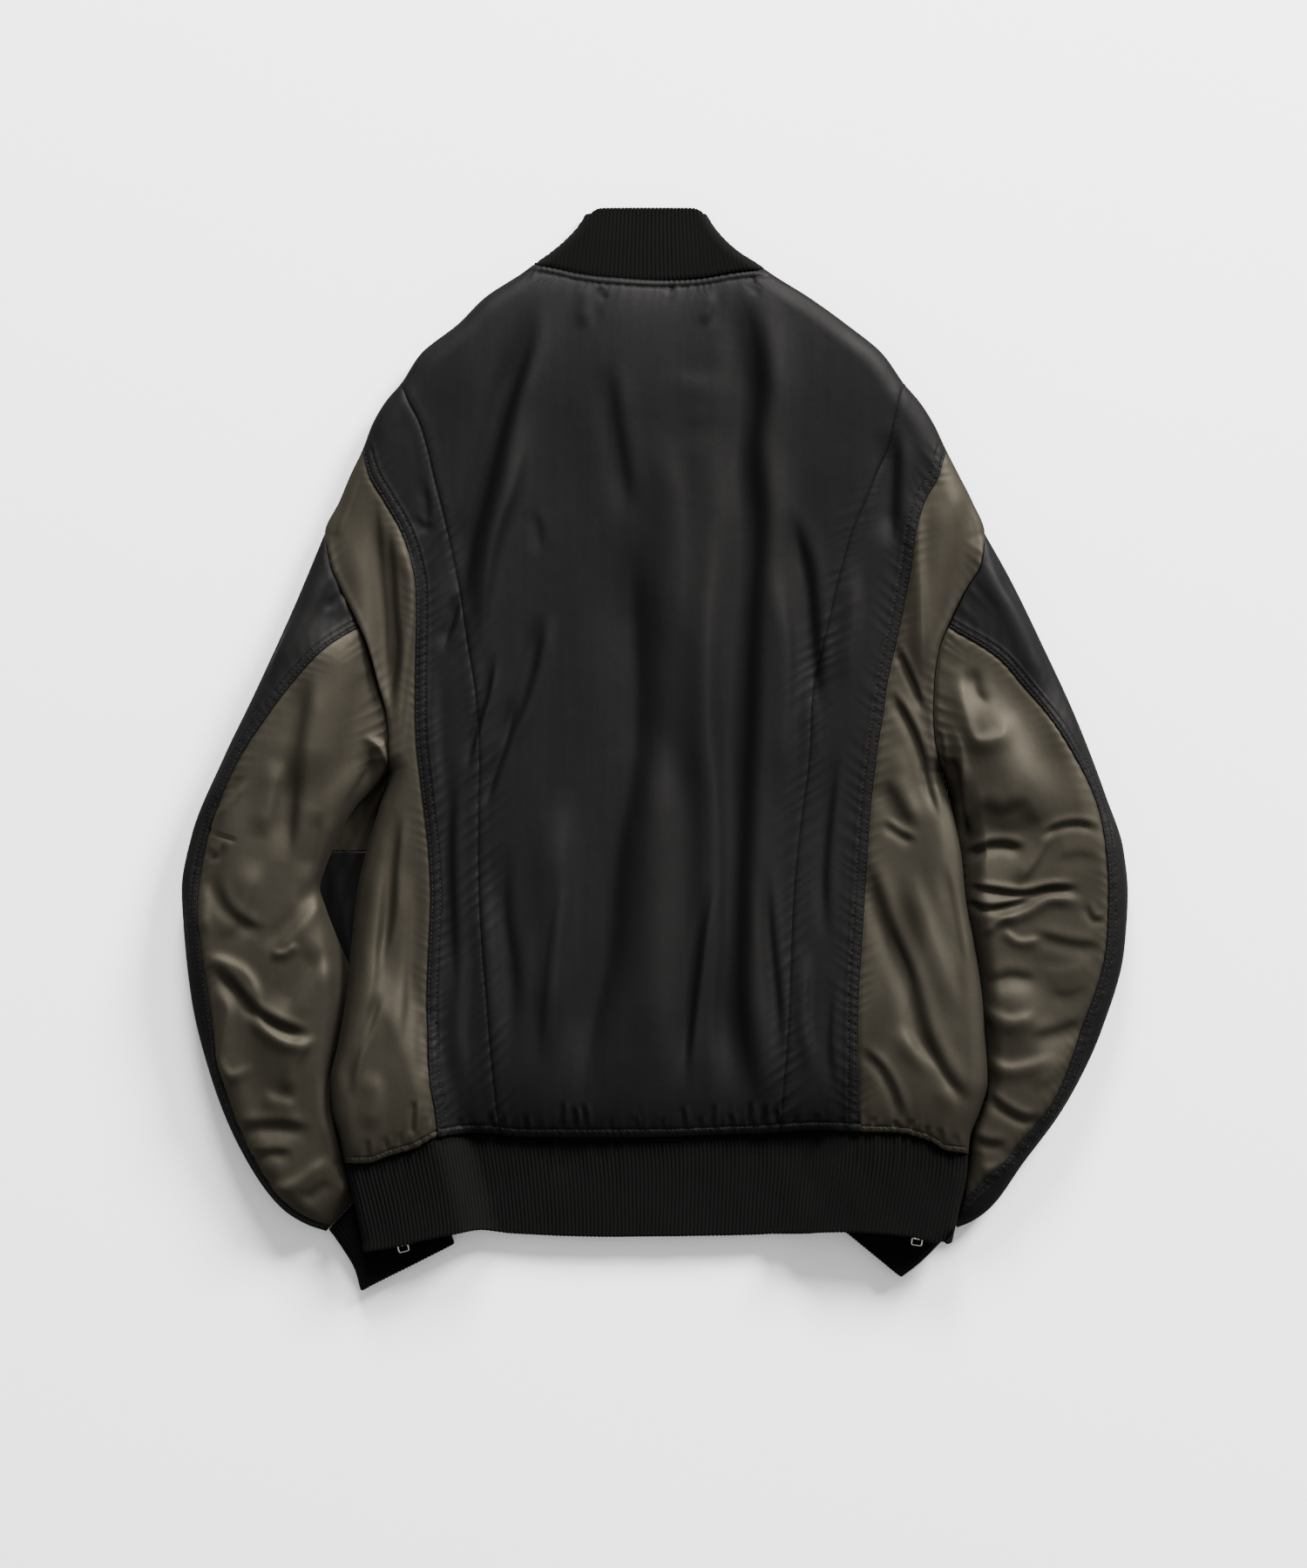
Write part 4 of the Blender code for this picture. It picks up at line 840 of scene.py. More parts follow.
def sleeve_relief(side, x, y):
    out = FOLD_SETS["arm_" + side](x, y)
    out += 1.5 * BROAD(x * 1.2, y * 1.2 + 400.0) + 0.28 * MIDDLE(x + 300.0, y) + 0.04 * SMALL(x, y)
    # calmer where the body lies on it
    calm = soft((beside_body(x, y) + 3.0) / 10.0)
    out *= 1.0 - 0.85 * (1.0 - calm) * below_underarm(y)
    line = ARMHOLE[side]
    at = near_points(line, x, y, 30.0)
    d, _, place, _ = line.to(x[at], y[at])
    out[at] += (-1.2 * np.exp(-(d / 2.0) ** 2)
                + 0.36 * puckers(place, d, 11.0, -0.35, 14.0, 61) * soft(d / 4.0))
    line = SLEEVE_SEAM[side]
    at = near_points(line, x, y, 30.0)
    d, way, place, _ = line.to(x[at], y[at])
    # + on the black side, which is the outer one
    u = (way if side == "L" else -way) * d
    out[at] += stitched_seam(u, place, 70 if side == "L" else 80, 6.6, 5.2)
    return out


# ---------------------------------------------------------------- meshes --
PIECES = {}


def mesh_object(name, points, faces, smooth=True):
    mesh = bpy.data.meshes.new(name)
    mesh.from_pydata((np.asarray(points) * 0.001).tolist(), [], faces)
    mesh.validate(verbose=False)
    if smooth:
        mesh.shade_smooth()
    # a cloth piece isn't called the same as the CAD node that it replaces
    obj = bpy.data.objects.new(name if name.startswith("stitches") else name + "_cloth", mesh)
    bpy.context.scene.collection.objects.link(obj)
    return obj


def clean_faces(index, faces):
    """Faces on merged points, without those that have shrunk to a line."""
    out = []
    for face in faces:
        ids = [index[v] for v in face]
        slim = [v for k, v in enumerate(ids) if v != ids[k - 1]]
        if len(set(slim)) >= 3 and len(set(slim)) == len(slim):
            out.append(slim)
    return out


def within_body(p):
    """The same points, none of them outside the outline of the body."""
    low = BODY_AT[EDGE_L](p[..., 1]) + 0.25
    high = BODY_AT[EDGE_R](p[..., 1]) - 0.25
    out = p.copy()
    out[..., 0] = np.clip(p[..., 0], low, high)
    return out


def shell(name, outer, normal, thick, every=3, values=None, keep_in=None):
    """Closed thin shell on a grid of outer points.  Its hidden inner face
    is coarser: one face for every block of outer ones."""
    rows, cols = outer.shape[:2]
    inner = outer - thick * normal
    if keep_in is not None:
        inner = keep_in(inner)
    # the cloth rolls in at its cut edges
    n_out = rows * cols
    oid = np.arange(n_out).reshape(rows, cols)
    ra = sorted(set(list(range(0, rows, every)) + [rows - 1]))
    ca = sorted(set(list(range(0, cols, every)) + [cols - 1]))
    keep = np.zeros((rows, cols), bool)
    keep[np.ix_(ra, ca)] = True
    keep[0, :] = keep[-1, :] = keep[:, 0] = keep[:, -1] = True
    iid = -np.ones((rows, cols), int)
    iid[keep] = n_out + np.arange(keep.sum())
    points = np.vstack((outer.reshape(-1, 3), inner[keep]))
    a, b = oid[:-1, :-1].ravel(), oid[:-1, 1:].ravel()
    c, d = oid[1:, 1:].ravel(), oid[1:, :-1].ravel()
    quads = np.stack((a, b, c, d), 1)
    # which way round is outwards
    k = len(quads) // 2
    sample = quads[:: max(1, len(quads) // 500)]
    face_n = np.cross(points[sample[:, 1]] - points[sample[:, 0]],
                      points[sample[:, 3]] - points[sample[:, 0]])
    flip = (face_n * normal.reshape(-1, 3)[sample[:, 0]]).sum() < 0
    faces = quads.tolist()
    for i0, i1 in zip(ra, ra[1:]):
        for j0, j1 in zip(ca, ca[1:]):
            low = list(range(j0, j1 + 1)) if i0 == 0 else [j0, j1]
            right = list(range(i0, i1 + 1)) if j1 == cols - 1 else [i0, i1]
            high = list(range(j0, j1 + 1)) if i1 == rows - 1 else [j0, j1]
            left = list(range(i0, i1 + 1)) if j0 == 0 else [i0, i1]
            loop = [iid[i0, j] for j in low] + [iid[i, j1] for i in right[1:]]
            loop += [iid[i1, j] for j in high[::-1][1:]]
            loop += [iid[i, j0] for i in left[::-1][1:-1]]
            faces.append([int(v) for v in loop[::-1]])
    border = ([(0, j) for j in range(cols)]
              + [(i, cols - 1) for i in range(1, rows)]
              + [(rows - 1, j) for j in range(cols - 2, -1, -1)]
              + [(i, 0) for i in range(rows - 2, 0, -1)])
    for p, q in zip(border, border[1:] + border[:1]):
        faces.append([int(oid[q]), int(oid[p]), int(iid[p]), int(iid[q])])
    if flip:
        faces = [f[::-1] for f in faces]
    # merge points that coincide, as at the tip of a panel
    key = np.round(points * 200.0).astype(np.int64)
    key = np.c_[key, (np.arange(len(points)) >= n_out).astype(np.int64)]
    _, first, index = np.unique(key, axis=0, return_index=True,
                                return_inverse=True)
    index = index.ravel()
    if len(first) < len(points):
        faces = clean_faces(index.tolist(), faces)
        points = points[first]
        order = first
    else:
        order = np.arange(len(points))
    obj = mesh_object(name, points, faces)
    for label, value in (values or {}).items():
        full = np.zeros(n_out + int(keep.sum()))
        full[:n_out] = value.ravel()
        full[n_out:] = value[keep]
        attr = obj.data.attributes.new(label, "FLOAT", "POINT")
        attr.data.foreach_set("value", full[order].astype(np.float32))
    PIECES[name] = obj
    return obj


def relieved(x, y, shape, relief, levels, lines, upper, edge, split=0.5 * GAP):
    """Points over a grid in the plan, with the relief added to the form."""
    p, n, d = form(x.ravel(), y.ravel(), levels, lines, upper,
                   None if edge is None else edge.ravel(), split)
    h = relief(x.ravel(), y.ravel())
    # folds of the outline stay put, so that both faces meet there
    calm = soft(d / 7.0)
    h = h * calm
    out = p + n * h[:, None]
    return (out.reshape(*shape, 3), n.reshape(*shape, 3), h.reshape(shape),
            d.reshape(shape))


def true_normals(points, like):
    """Normals of the finished grid, facing as the form's do."""
    du = np.gradient(points, axis=1)
    dv = np.gradient(points, axis=0)
    n = normalised(np.cross(du, dv))
    sign = np.sign((n * like).sum(-1, keepdims=True))
    n = n * np.where(sign == 0, 1, sign)
    weak = np.linalg.norm(np.cross(du, dv), axis=-1, keepdims=True) < 1e-6
    return np.where(weak, like, n)


FOLD_MM = (0.0, 0.2, 0.6, 1.2, 2.0, 3.0, 4.2, 5.6, 7.2, 9.0)
PLAIN_MM = (0.0, 0.25, 0.7, 1.2, 1.8, 2.6, 3.6, 4.8, 6.2)
STITCH_MM = (0.0, 0.3, 0.7, 1.1, 1.5, 1.9, 2.5, 3.4, 4.5, 5.5, 6.2, 6.9,
             7.6, 8.4, 9.4, 10.6)
HEM_MM = (0.0, 0.35, 0.8, 1.3, 2.0, 2.8, 3.7, 4.5, 5.1, 5.7, 6.3, 7.0, 7.9, 9.0)


def spread(width, left, right, step, widest):
    """Offsets across a piece: set ones at both edges, even between.  One
    row of the result for every width."""
    left, right = np.asarray(left), np.asarray(right)
    n = max(2, int(round((widest - left[-1] - right[-1]) / step)))
    width = np.maximum(np.asarray(width, float), 0.0)
    k = np.minimum(1.0, 0.42 * width / max(left[-1], 1e-6))[:, None]
    m = np.minimum(1.0, 0.42 * width / max(right[-1], 1e-6))[:, None]
    a = left[None, :] * k
    b = width[:, None] - right[None, ::-1] * m
    t = np.linspace(0.0, 1.0, n + 1)[None, 1:-1]
    mid = a[:, -1:] + (b[:, :1] - a[:, -1:]) * t
    return np.hstack((a, mid, b))


def body_rows(step, low=HEM_Y, high=NECK_Y, both=True):
    hem = np.asarray(HEM_MM)
    ys = np.arange(HEM_Y + hem[-1] + step, NECK_Y - hem[-1] - 0.5 * step, step)
    rows = np.r_[HEM_Y + 0.5 * GAP + hem, ys, NECK_Y - 0.5 * GAP - hem[::-1]]
    rows = rows[(rows >= low) & (rows <= high)]
    return rows


def body_panel(name, left, right, mm_left, mm_right, step, top=None,
               upper=True, relief=back_relief):
    """Grid between two lines of the panel table, up to its tip."""
    y0 = body_rows(step)
    if top is not None:
        y0 = np.r_[y0[y0 < top - 0.6], top]
    if isinstance(left, int):
        a = row_x(y0, left)
        fold_a = np.abs(a - row_x(y0, EDGE_L)) < 0.05
        a = a + np.where(fold_a, 0.0, 0.5 * GAP)
    else:
        a, fold_a = np.full_like(y0, left), np.zeros(len(y0), bool)
    if isinstance(right, int):
        b = row_x(y0, right)
        fold_b = np.abs(b - row_x(y0, EDGE_R)) < 0.05
        b = b - np.where(fold_b, 0.0, 0.5 * GAP)
    else:
        b, fold_b = np.full_like(y0, right), np.zeros(len(y0), bool)
    b = np.maximum(a, b)
    off = spread(b - a, mm_left, mm_right, step, (b - a).max())
    x = a[:, None] + off
    y = row_y(y0[:, None], x)
    edge = np.zeros(x.shape, bool)
    edge[:, 0] = fold_a
    edge[:, -1] = fold_b
    if top is not None:
        edge[-1, :] = True
    p, n, h, d = relieved(x, y, x.shape, relief, body_levels, BODY_LINES,
                          upper, edge)
    # set edges roll in a little: the outermost line of a seam sinks
    return p, n, h, d, x, y


def rub_of(h, d, extra=None):
    """Where the cloth is handled most: proud folds and the outline."""
    wear_and_furrow_shade = 0.12 * np.exp(-(d / 3.0) ** 2) + 0.07 * np.clip(h, 0.0, 3.0)
    return np.clip(wear_and_furrow_shade if extra is None else wear_and_furrow_shade + extra, 0.0, 1.0)


def make_body():
    plans = (
        ("side_panel_L", EDGE_L, OLIVE_L, FOLD_MM, PLAIN_MM, FINE, 213.0),
        ("side_back_L", OLIVE_L, SEAM_L, STITCH_MM, PLAIN_MM, FINE, 260.4),
        ("back_centre", SEAM_L, SEAM_R, PLAIN_MM, PLAIN_MM, BACK_STEP, None),
        ("side_back_R", SEAM_R, OLIVE_R, PLAIN_MM, STITCH_MM, FINE, 260.4),
        ("side_panel_R", OLIVE_R, EDGE_R, PLAIN_MM, FOLD_MM, FINE, 213.0),
    )
    for name, left, right, mm_l, mm_r, step, top in plans:
        p, n, h, d, x, y = body_panel(name, left, right, mm_l, mm_r, step, top)
        shell(name, p, n, THICK, values={"wear_and_furrow_shade": rub_of(h, d), "deep": -h},
              keep_in=within_body)


def front_relief(x, y):
    out = FOLD_SETS["front"](x, y)
    out += 0.5 * BROAD(x + 500.0, y) + 0.25 * MIDDLE(x, y + 200.0)
    # what rests on the surface stays flat, what lies on a sleeve calmer
    low = lift(x, y)
    return np.minimum(out, 0.0) * 0.9 - 0.15 * (low > 2.0)


def make_fronts():
    for name, left, right, mm_l, mm_r in (
            ("front_L", EDGE_L, -TAB, FOLD_MM, (0.0, 0.5, 1.2, 2.2, 3.6)),
            ("front_R", TAB, EDGE_R, (0.0, 0.5, 1.2, 2.2, 3.6), FOLD_MM)):
        p, n, h, d, x, y = body_panel(name, left, right, mm_l, mm_r, COARSE,
                                      None, False, front_relief)
        # nothing sinks below the surface it lies on
        p[..., 2] = np.maximum(p[..., 2], 0.05)
        shell(name, p, n, THICK, every=2, values={"wear_and_furrow_shade": rub_of(h, d), "deep": -h},
              keep_in=within_body)


def make_left_side():
    """Strips of the body's side that show between its fold and the sleeve."""
    fold = np.array(sorted((y, x) for _, _, x, y, _, _ in ARM_L))
    inner = smooth_curve(fold[:, 0], fold[:, 1])
    for name, low, high in (("underarm_L", -72.9, -9.0),
                            ("front_side_L", -157.0, -73.3)):
        y0 = np.linspace(low, high, int((high - low) / 1.2) + 1)
        # both edges run well under the folds beside them
        a, b = inner(y0) - 8.0, BODY_AT[EDGE_L](y0) + 7.5
        t = np.linspace(0.0, 1.0, 36)[None, :]
        x = a[:, None] + (b - a)[:, None] * t
        y = np.repeat(y0[:, None], 36, axis=1)
        mid = np.sin(np.pi * t) ** 1.2
        long_fold = np.exp(-((t - 0.62) / 0.16) ** 2)
        z = 1.5 + mid * (1.1 + 1.4 * long_fold
                         + 0.8 * MIDDLE(x * 3.0, y)
                         + 0.5 * puckers(y.ravel(), x.ravel(), 9.0, 0.4, 60.0, 5).reshape(x.shape))
        z = np.maximum(z, 1.2)
        p = np.stack((x, y, z), -1)
        up = np.zeros_like(p)
        up[..., 2] = 1.0
        n = true_normals(p, up)
        shell(name, p, up, 1.15, every=3,
              values={"wear_and_furrow_shade": np.clip(z - 2.0, 0, 1) * 0.3, "deep": 0 * z})


# --------------------------------------------------------------- sleeves --
def sleeve_rows(total, step):
    near = np.array((0.0, 0.5, 1.1, 1.8, 2.7, 3.8, 5.1, 6.6))
    far = np.array((0.0, 0.6, 1.3, 2.2, 3.4, 4.8))
    n = int((total - near[-1] - far[-1]) / step)
    mid = np.linspace(near[-1], total - far[-1], n + 1)[1:-1]
    return np.r_[near, mid, total - far[::-1]]


def sleeve_piece(side, kind, step):
    total, c, _ = ARMS[side]
    s = sleeve_rows(total, step)
    width = np.hypot(c[2](s) - c[0](s), c[3](s) - c[1](s))
    seam = c[4](s) * width
    lines = ARM_LINES[side]
    relief_top = lambda x, y: sleeve_relief(side, x, y)
    relief_low = lambda x, y: np.minimum(0.0, 0.6 * FOLD_SETS["under"](x, y)
                                         + 0.3 * MIDDLE(x, y))
    def face(off, upper, relief, edge, split):
        k = off / width[:, None]
        ss = np.repeat(s[:, None], off.shape[1], axis=1)
        x, y = sleeve_plan(side, ss, k)
        levels = arm_level(c[5](ss).ravel())
        return relieved(x, y, x.shape, relief, levels, lines, upper, edge, split)
    if kind == "outer":
        w = seam - 0.5 * GAP
        narrow = np.asarray(STITCH_MM[:12])
        off = spread(w, FOLD_MM[:6], narrow, step, w.max())
        edge = np.zeros(off.shape, bool)
        edge[:, 0] = True
        p, n, h, d = face(off, True, relief_top, edge, 0.0)
        off2 = spread(w, FOLD_MM[:6], (0.0, 0.6, 1.6), 3.0, w.max())
        edge = np.zeros(off2.shape, bool)
        edge[:, 0] = True
        q, m, g, e = face(off2, False, relief_low, edge, 0.0)
        q[..., 2] = np.maximum(q[..., 2], 0.05)
        p = np.concatenate((p[:, ::-1], q[:, 1:]), 1)
        n = np.concatenate((n[:, ::-1], m[:, 1:]), 1)
        h = np.concatenate((h[:, ::-1], g[:, 1:]), 1)
        d = np.concatenate((d[:, ::-1], e[:, 1:]), 1)
        return p, n, h, d
    w = width - seam - 0.5 * GAP
    upper = kind == "back"
    off = spread(w, PLAIN_MM if upper else (0.0, 0.6, 1.6, 3.2), FOLD_MM, step, w.max())
    edge = np.zeros(off.shape, bool)
    edge[:, -1] = True
    off = off + (seam + 0.5 * GAP)[:, None]
    p, n, h, d = face(off, upper, relief_top if upper else relief_low, edge, 0.5 * GAP)
    if not upper:
        p[..., 2] = np.maximum(p[..., 2], 0.05)
    return p, n, h, d


def make_sleeves():
    for side in "LR":
        for kind, step, every in (("back", FINE, 3), ("outer", FINE, 3),
                                  ("under", COARSE, 2)):
            p, n, h, d = sleeve_piece(side, kind, step)
            shell("sleeve_%s_%s" % (kind, side), p, n, THICK, every=every,
                  values={"wear_and_furrow_shade": rub_of(h, d), "deep": -h})


# ------------------------------------------------------------------ ribs --
SAMPLES = 7         # mesh columns to a rib


def rib_wave(phase):
    return 0.95 * np.abs(np.sin(np.pi * phase)) ** 0.8


def rib_piece(name, regions, length, levels, lines, closed, rows, relief,
              phase_at=None, pitch=PITCH, body_of=None):
    """Folded rib tube.  regions: (plan function of (f, v), upper) in order
    round the tube; v runs from the seam (0) to the free edge (1)."""
    f = np.linspace(0.0, 1.0, 600)
    walk, tags, last = [0.0], [], None
    marks = []
    for r, (at, upper) in enumerate(regions):
        x, y = at(f, np.full_like(f, 0.5))
        p, _, _ = form(x, y, levels, lines, upper, None, 0.0)
        if last is not None:
            walk.append(walk[-1] + np.linalg.norm(p[0] - last))
            tags.append((r, 0.0))
        else:
            tags.append((r, 0.0))
        step = np.linalg.norm(np.diff(p, axis=0), axis=1)
        for k, d in enumerate(step):
            walk.append(walk[-1] + d)
            tags.append((r, f[k + 1]))
        last = p[-1]
    walk = np.asarray(walk)
    total = walk[-1]
    n = int(round(total / pitch)) * SAMPLES
    at_u = np.linspace(0.0, total, n, endpoint=False) if closed else np.linspace(0.0, total, n + 1)
    j = np.clip(np.searchsorted(walk, at_u, side="right") - 1, 0, len(walk) - 2)
    frac = (at_u - walk[j]) / np.maximum(walk[j + 1] - walk[j], 1e-9)
    region = np.array([tags[i][0] for i in j])
    f0 = np.array([tags[i][1] for i in j])
    f1 = np.array([tags[i + 1][1] if tags[i + 1][0] == tags[i][0] else 1.0 for i in j])
    share = f0 + (f1 - f0) * frac
    radius = 0.5 * RIB_THICK
    v_end = 1.0 - radius / length
    v = np.r_[0.0, 0.012, 0.03, np.linspace(0.06, v_end - 0.03, rows), v_end - 0.012, v_end]
    cols, nv = len(share), len(v)
    P = np.zeros((nv, cols, 3))
    N = np.zeros((nv, cols, 3))
    D = np.zeros((nv, cols))
    for r, (at, upper) in enumerate(regions):
        at_r = np.flatnonzero(region == r)
        if not len(at_r):
            continue
        ff = np.repeat(share[None, at_r], nv, axis=0)
        vv = np.repeat(v[:, None], len(at_r), axis=1)
        x, y = at(ff, vv)
        edge = (ff <= 1e-9) | (ff >= 1.0 - 1e-9)
        p, nn, d = form(x.ravel(), y.ravel(), levels, lines, upper, None, 0.0)
        P[:, at_r] = p.reshape(nv, -1, 3)
        N[:, at_r] = nn.reshape(nv, -1, 3)
        D[:, at_r] = d.reshape(nv, -1)
    x, y = P[..., 0], P[..., 1]
    phase = np.repeat((np.arange(cols) / SAMPLES)[None, :], nv, axis=0)
    if phase_at is not None:
        phase = phase_at(x, y, v[:, None], region[None, :], phase)
    phase = phase + 0.10 * MIDDLE(x * 2.0, y * 0.8 + 70.0)
    ridge = rib_wave(phase) * (0.86 + 0.14 * MIDDLE(x, y * 1.7))
    ridge[0] *= 0.5
    wave = relief(x.ravel(), y.ravel()).reshape(x.shape) * soft(D / 5.0)
    wave = np.where(N[..., 2] < -0.2, np.minimum(wave, 0.0) * 0.3, wave)
    base = P + N * wave[..., None]
    outer = base + N * (ridge - 0.5)[..., None]
    # the free edge: the knit turns back into the tube
    along = normalised(base[-1] - base[-3])
    centre = base[-1] - radius * N[-1]
    turn = []
    for q in (0.2, 0.42, 0.62, 0.82):
        way = math.cos(math.pi * q) * N[-1] + math.sin(math.pi * q) * along
        turn.append(centre + way * (radius + (ridge[-1] - 0.5) * (1.0 - 0.5 * q))[:, None])
    picks = np.unique(np.linspace(0, nv - 1, 5).astype(int))[::-1]
    inner = [base[i] - RIB_THICK * N[i] for i in picks]
    ring = np.stack(list(outer) + turn + inner, 0)
    ring[..., 2] = np.maximum(ring[..., 2], 0.05)
    m = ring.shape[0]
    ids = np.arange(m * cols).reshape(m, cols)
    span = cols if closed else cols - 1
    i = np.arange(m)
    jj = np.arange(span)
    a = ids[i][:, jj]
    b = ids[i][:, (jj + 1) % cols]
    c = ids[(i + 1) % m][:, (jj + 1) % cols]
    d = ids[(i + 1) % m][:, jj]
    faces = np.stack((a, b, c, d), -1).reshape(-1, 4)
    pts = ring.reshape(-1, 3)
    half = faces[: nv * span: max(1, span // 40)]
    fn = np.cross(pts[half[:, 1]] - pts[half[:, 0]], pts[half[:, 3]] - pts[half[:, 0]])
    nn = np.concatenate([N.reshape(-1, 3)])[np.minimum(half[:, 0], nv * cols - 1)]
    flip = (fn * nn).sum() < 0
    faces = faces.tolist()
    if not closed:
        faces.append(ids[:, 0].tolist())
        faces.append(ids[::-1, -1].tolist())
    if flip:
        faces = [q[::-1] for q in faces]
    obj = mesh_object(name, pts, faces)
    # rib height, with which the knit's material paints shade into the furrows; on the nylon pieces the same attribute
    # carries wear
    attr = obj.data.attributes.new("wear_and_furrow_shade", "FLOAT", "POINT")
    val = np.zeros((m, cols))
    val[:nv] = ridge / 0.95
    val[nv:nv + 4] = (ridge[-1] / 0.95)[None, :]
    attr.data.foreach_set("value", val.ravel().astype(np.float32))
    PIECES[name] = obj
    return obj


def band_ends(seam_y, seam_dip, end_y, end_dip, v):
    """x of both folds of a rib band for rows v, and y as a function of x."""
    def y_at(x, vv):
        return seam_y + seam_dip(x) + (end_y + end_dip(x) - seam_y - seam_dip(x)) * vv
    ends = []
    for col in (EDGE_L, EDGE_R):
        y = np.full_like(v, seam_y)
        for _ in range(8):
            x = BODY_AT[col](y)
            y = y_at(x, v)
        ends.append(x)
    return ends[0], ends[1], y_at


def band_regions(seam_y, seam_dip, end_y, end_dip, slot=TAB + 0.5):
    def right_front(f, v):
        l, r, y_at = band_ends(seam_y, seam_dip, end_y, end_dip, v)
        x = slot + (r - slot) * f
        return x, y_at(x, v)

    def over(f, v):
        l, r, y_at = band_ends(seam_y, seam_dip, end_y, end_dip, v)
        x = r + (l - r) * f
        return x, y_at(x, v)

    def left_front(f, v):
        l, r, y_at = band_ends(seam_y, seam_dip, end_y, end_dip, v)
        x = l + (-slot - l) * f
        return x, y_at(x, v)
    return ((right_front, False), (over, True), (left_front, False))


def hem_wave(x, y):
    h = (HEM_Y + HEM_AT(x)) - y
    return (0.8 * BROAD(x * 1.6, y + 90.0) + 0.45 * MIDDLE(x * 1.3, y)
            + 0.55 * puckers(x, h, 13.0, 0.15, 20.0, 91)
            - 0.5 * np.exp(-(h / 1.5) ** 2))


def collar_wave(x, y):
    h = y - (NECK_Y + NECK_AT(x))
    return (0.6 * BROAD(x * 1.8, y) + 0.3 * MIDDLE(x, y)
            - 0.6 * np.exp(-(h / 1.5) ** 2))


def make_ribs():
    rib_piece("hem_rib", band_regions(HEM_Y - 0.35, HEM_AT, HEM_EDGE_Y, EDGE_AT), 72.0,
              body_levels, BODY_LINES, False, 22, hem_wave)

    def corner(x):
        mid = 0.5 * (-46.0 + 35.0)
        t = np.clip(np.abs(x - mid) / 40.5, 0.0, 1.0)
        return -3.6 * t ** 15

    def collar_phase(x, y, v, region, phase):
        # the ribs of a shaped collar run up and down and leave at its sides
        lean = 1.0 - 0.10 * v
        return np.where(region == 1, x / (3.0 * lean), phase)
    rib_piece("collar_rib", band_regions(NECK_Y + 0.35, NECK_AT, COLLAR_TOP_Y, corner), 52.0,
              body_levels, BODY_LINES, False, 26, collar_wave, collar_phase, pitch=2.9)
    for side in "LR":
        total, c, _ = CUFFS[side]

        def over(f, v, c=c, total=total):
            s = v * total
            return (c[0](s) + (c[2](s) - c[0](s)) * f,
                    c[1](s) + (c[3](s) - c[1](s)) * f)

        def beneath(f, v, over=over):
            return over(1.0 - f, v)
        rib_piece("cuff_" + side, ((over, True), (beneath, False)), total,
                  rib_levels, ARM_LINES[side], True, 24,
                  lambda x, y: 0.5 * MIDDLE(x, y) + 0.3 * BROAD(x, y), pitch=2.7)


# --------------------------------------------------------------- threads --
def back_skin(x, y):
    p, n, d = form(x, y, body_levels, BODY_LINES, True)
    return p + n * (back_relief(x, y) * soft(d / 7.0))[:, None], n


def stitch_mesh(name, centres, ways, ups, length=2.5, wide=0.42, high=0.34):
    """Joined mesh of little threads: each a flat capsule of eight sides."""
    sides, rings = 6, ((-0.5, 0.25), (-0.36, 0.85), (0.0, 1.0), (0.36, 0.85), (0.5, 0.25))
    count = len(centres)
    across = normalised(np.cross(ups, ways))
    a = np.arange(sides) * 2 * np.pi / sides
    pts = np.zeros((count, len(rings), sides, 3))
    for r, (t, size) in enumerate(rings):
        for k in range(sides):
            pts[:, r, k] = (centres + ways * (t * length)
                            + across * (math.cos(a[k]) * wide * size)
                            + ups * (math.sin(a[k]) * high * size - 0.22 * (abs(t) * 2) ** 2))
    block = []
    for r in range(len(rings) - 1):
        for k in range(sides):
            m = (k + 1) % sides
            block.append((r * sides + k, r * sides + m, (r + 1) * sides + m, (r + 1) * sides + k))
    caps = [tuple(range(sides))[::-1],
            tuple((len(rings) - 1) * sides + k for k in range(sides))]
    per = len(rings) * sides
    faces = []
    for i in range(count):
        o = i * per
        faces += [tuple(v + o for v in f) for f in block]
        faces += [tuple(v + o for v in f) for f in caps]
    return mesh_object(name, pts.reshape(-1, 3), faces)


def along_offset(line, off, spacing=3.1, start=2.0, stop=2.0, seed=1):
    """Places and directions for stitches beside a line."""
    rng = np.random.RandomState(seed)
    s = np.arange(start, line.length - stop, spacing)
    s = s + rng.uniform(-0.25, 0.25, len(s))
    i = np.clip(np.searchsorted(line.start, s, side="right") - 1, 0, len(line.size) - 1)
    t = (s - line.start[i]) / line.size[i]
    p = line.a[i] + line.d[i] * t[:, None]
    way = line.d[i] / line.size[i][:, None]
    right = np.stack((way[:, 1], -way[:, 0]), 1)
    return p + right * off, way


def lay_stitches(name, rows, skin, folds, gap=3.1):
    """rows: (line, offset to its right, start, stop).  folds are the lines
    that no stitch comes near to."""
    c, w = [], []
    for k, (line, off, start, stop) in enumerate(rows):
        p, way = along_offset(line, off, gap, start, stop, 7 + k)
        clear = nearest(folds, p[:, 0], p[:, 1])[0] > 1.6
        inner = nearest((line,), p[:, 0], p[:, 1])[0] > abs(off) - 0.4
        ok = clear & inner
        if skin is back_skin:
            ok &= ((p[:, 0] > BODY_AT[EDGE_L](p[:, 1]) + 1.5)
                   & (p[:, 0] < BODY_AT[EDGE_R](p[:, 1]) - 1.5))
        p, way = p[ok], way[ok]
        c.append(p)
        w.append(way)
    c, w = np.vstack(c), np.vstack(w)
    eps = 0.8
    a, n = skin(c[:, 0], c[:, 1])
    b, _ = skin(c[:, 0] + w[:, 0] * eps, c[:, 1] + w[:, 1] * eps)
    ways = normalised(b - a)
    ups = normalised(n - ways * (n * ways).sum(1, keepdims=True))
    return stitch_mesh(name, a + ups * 0.16, ways, ups)


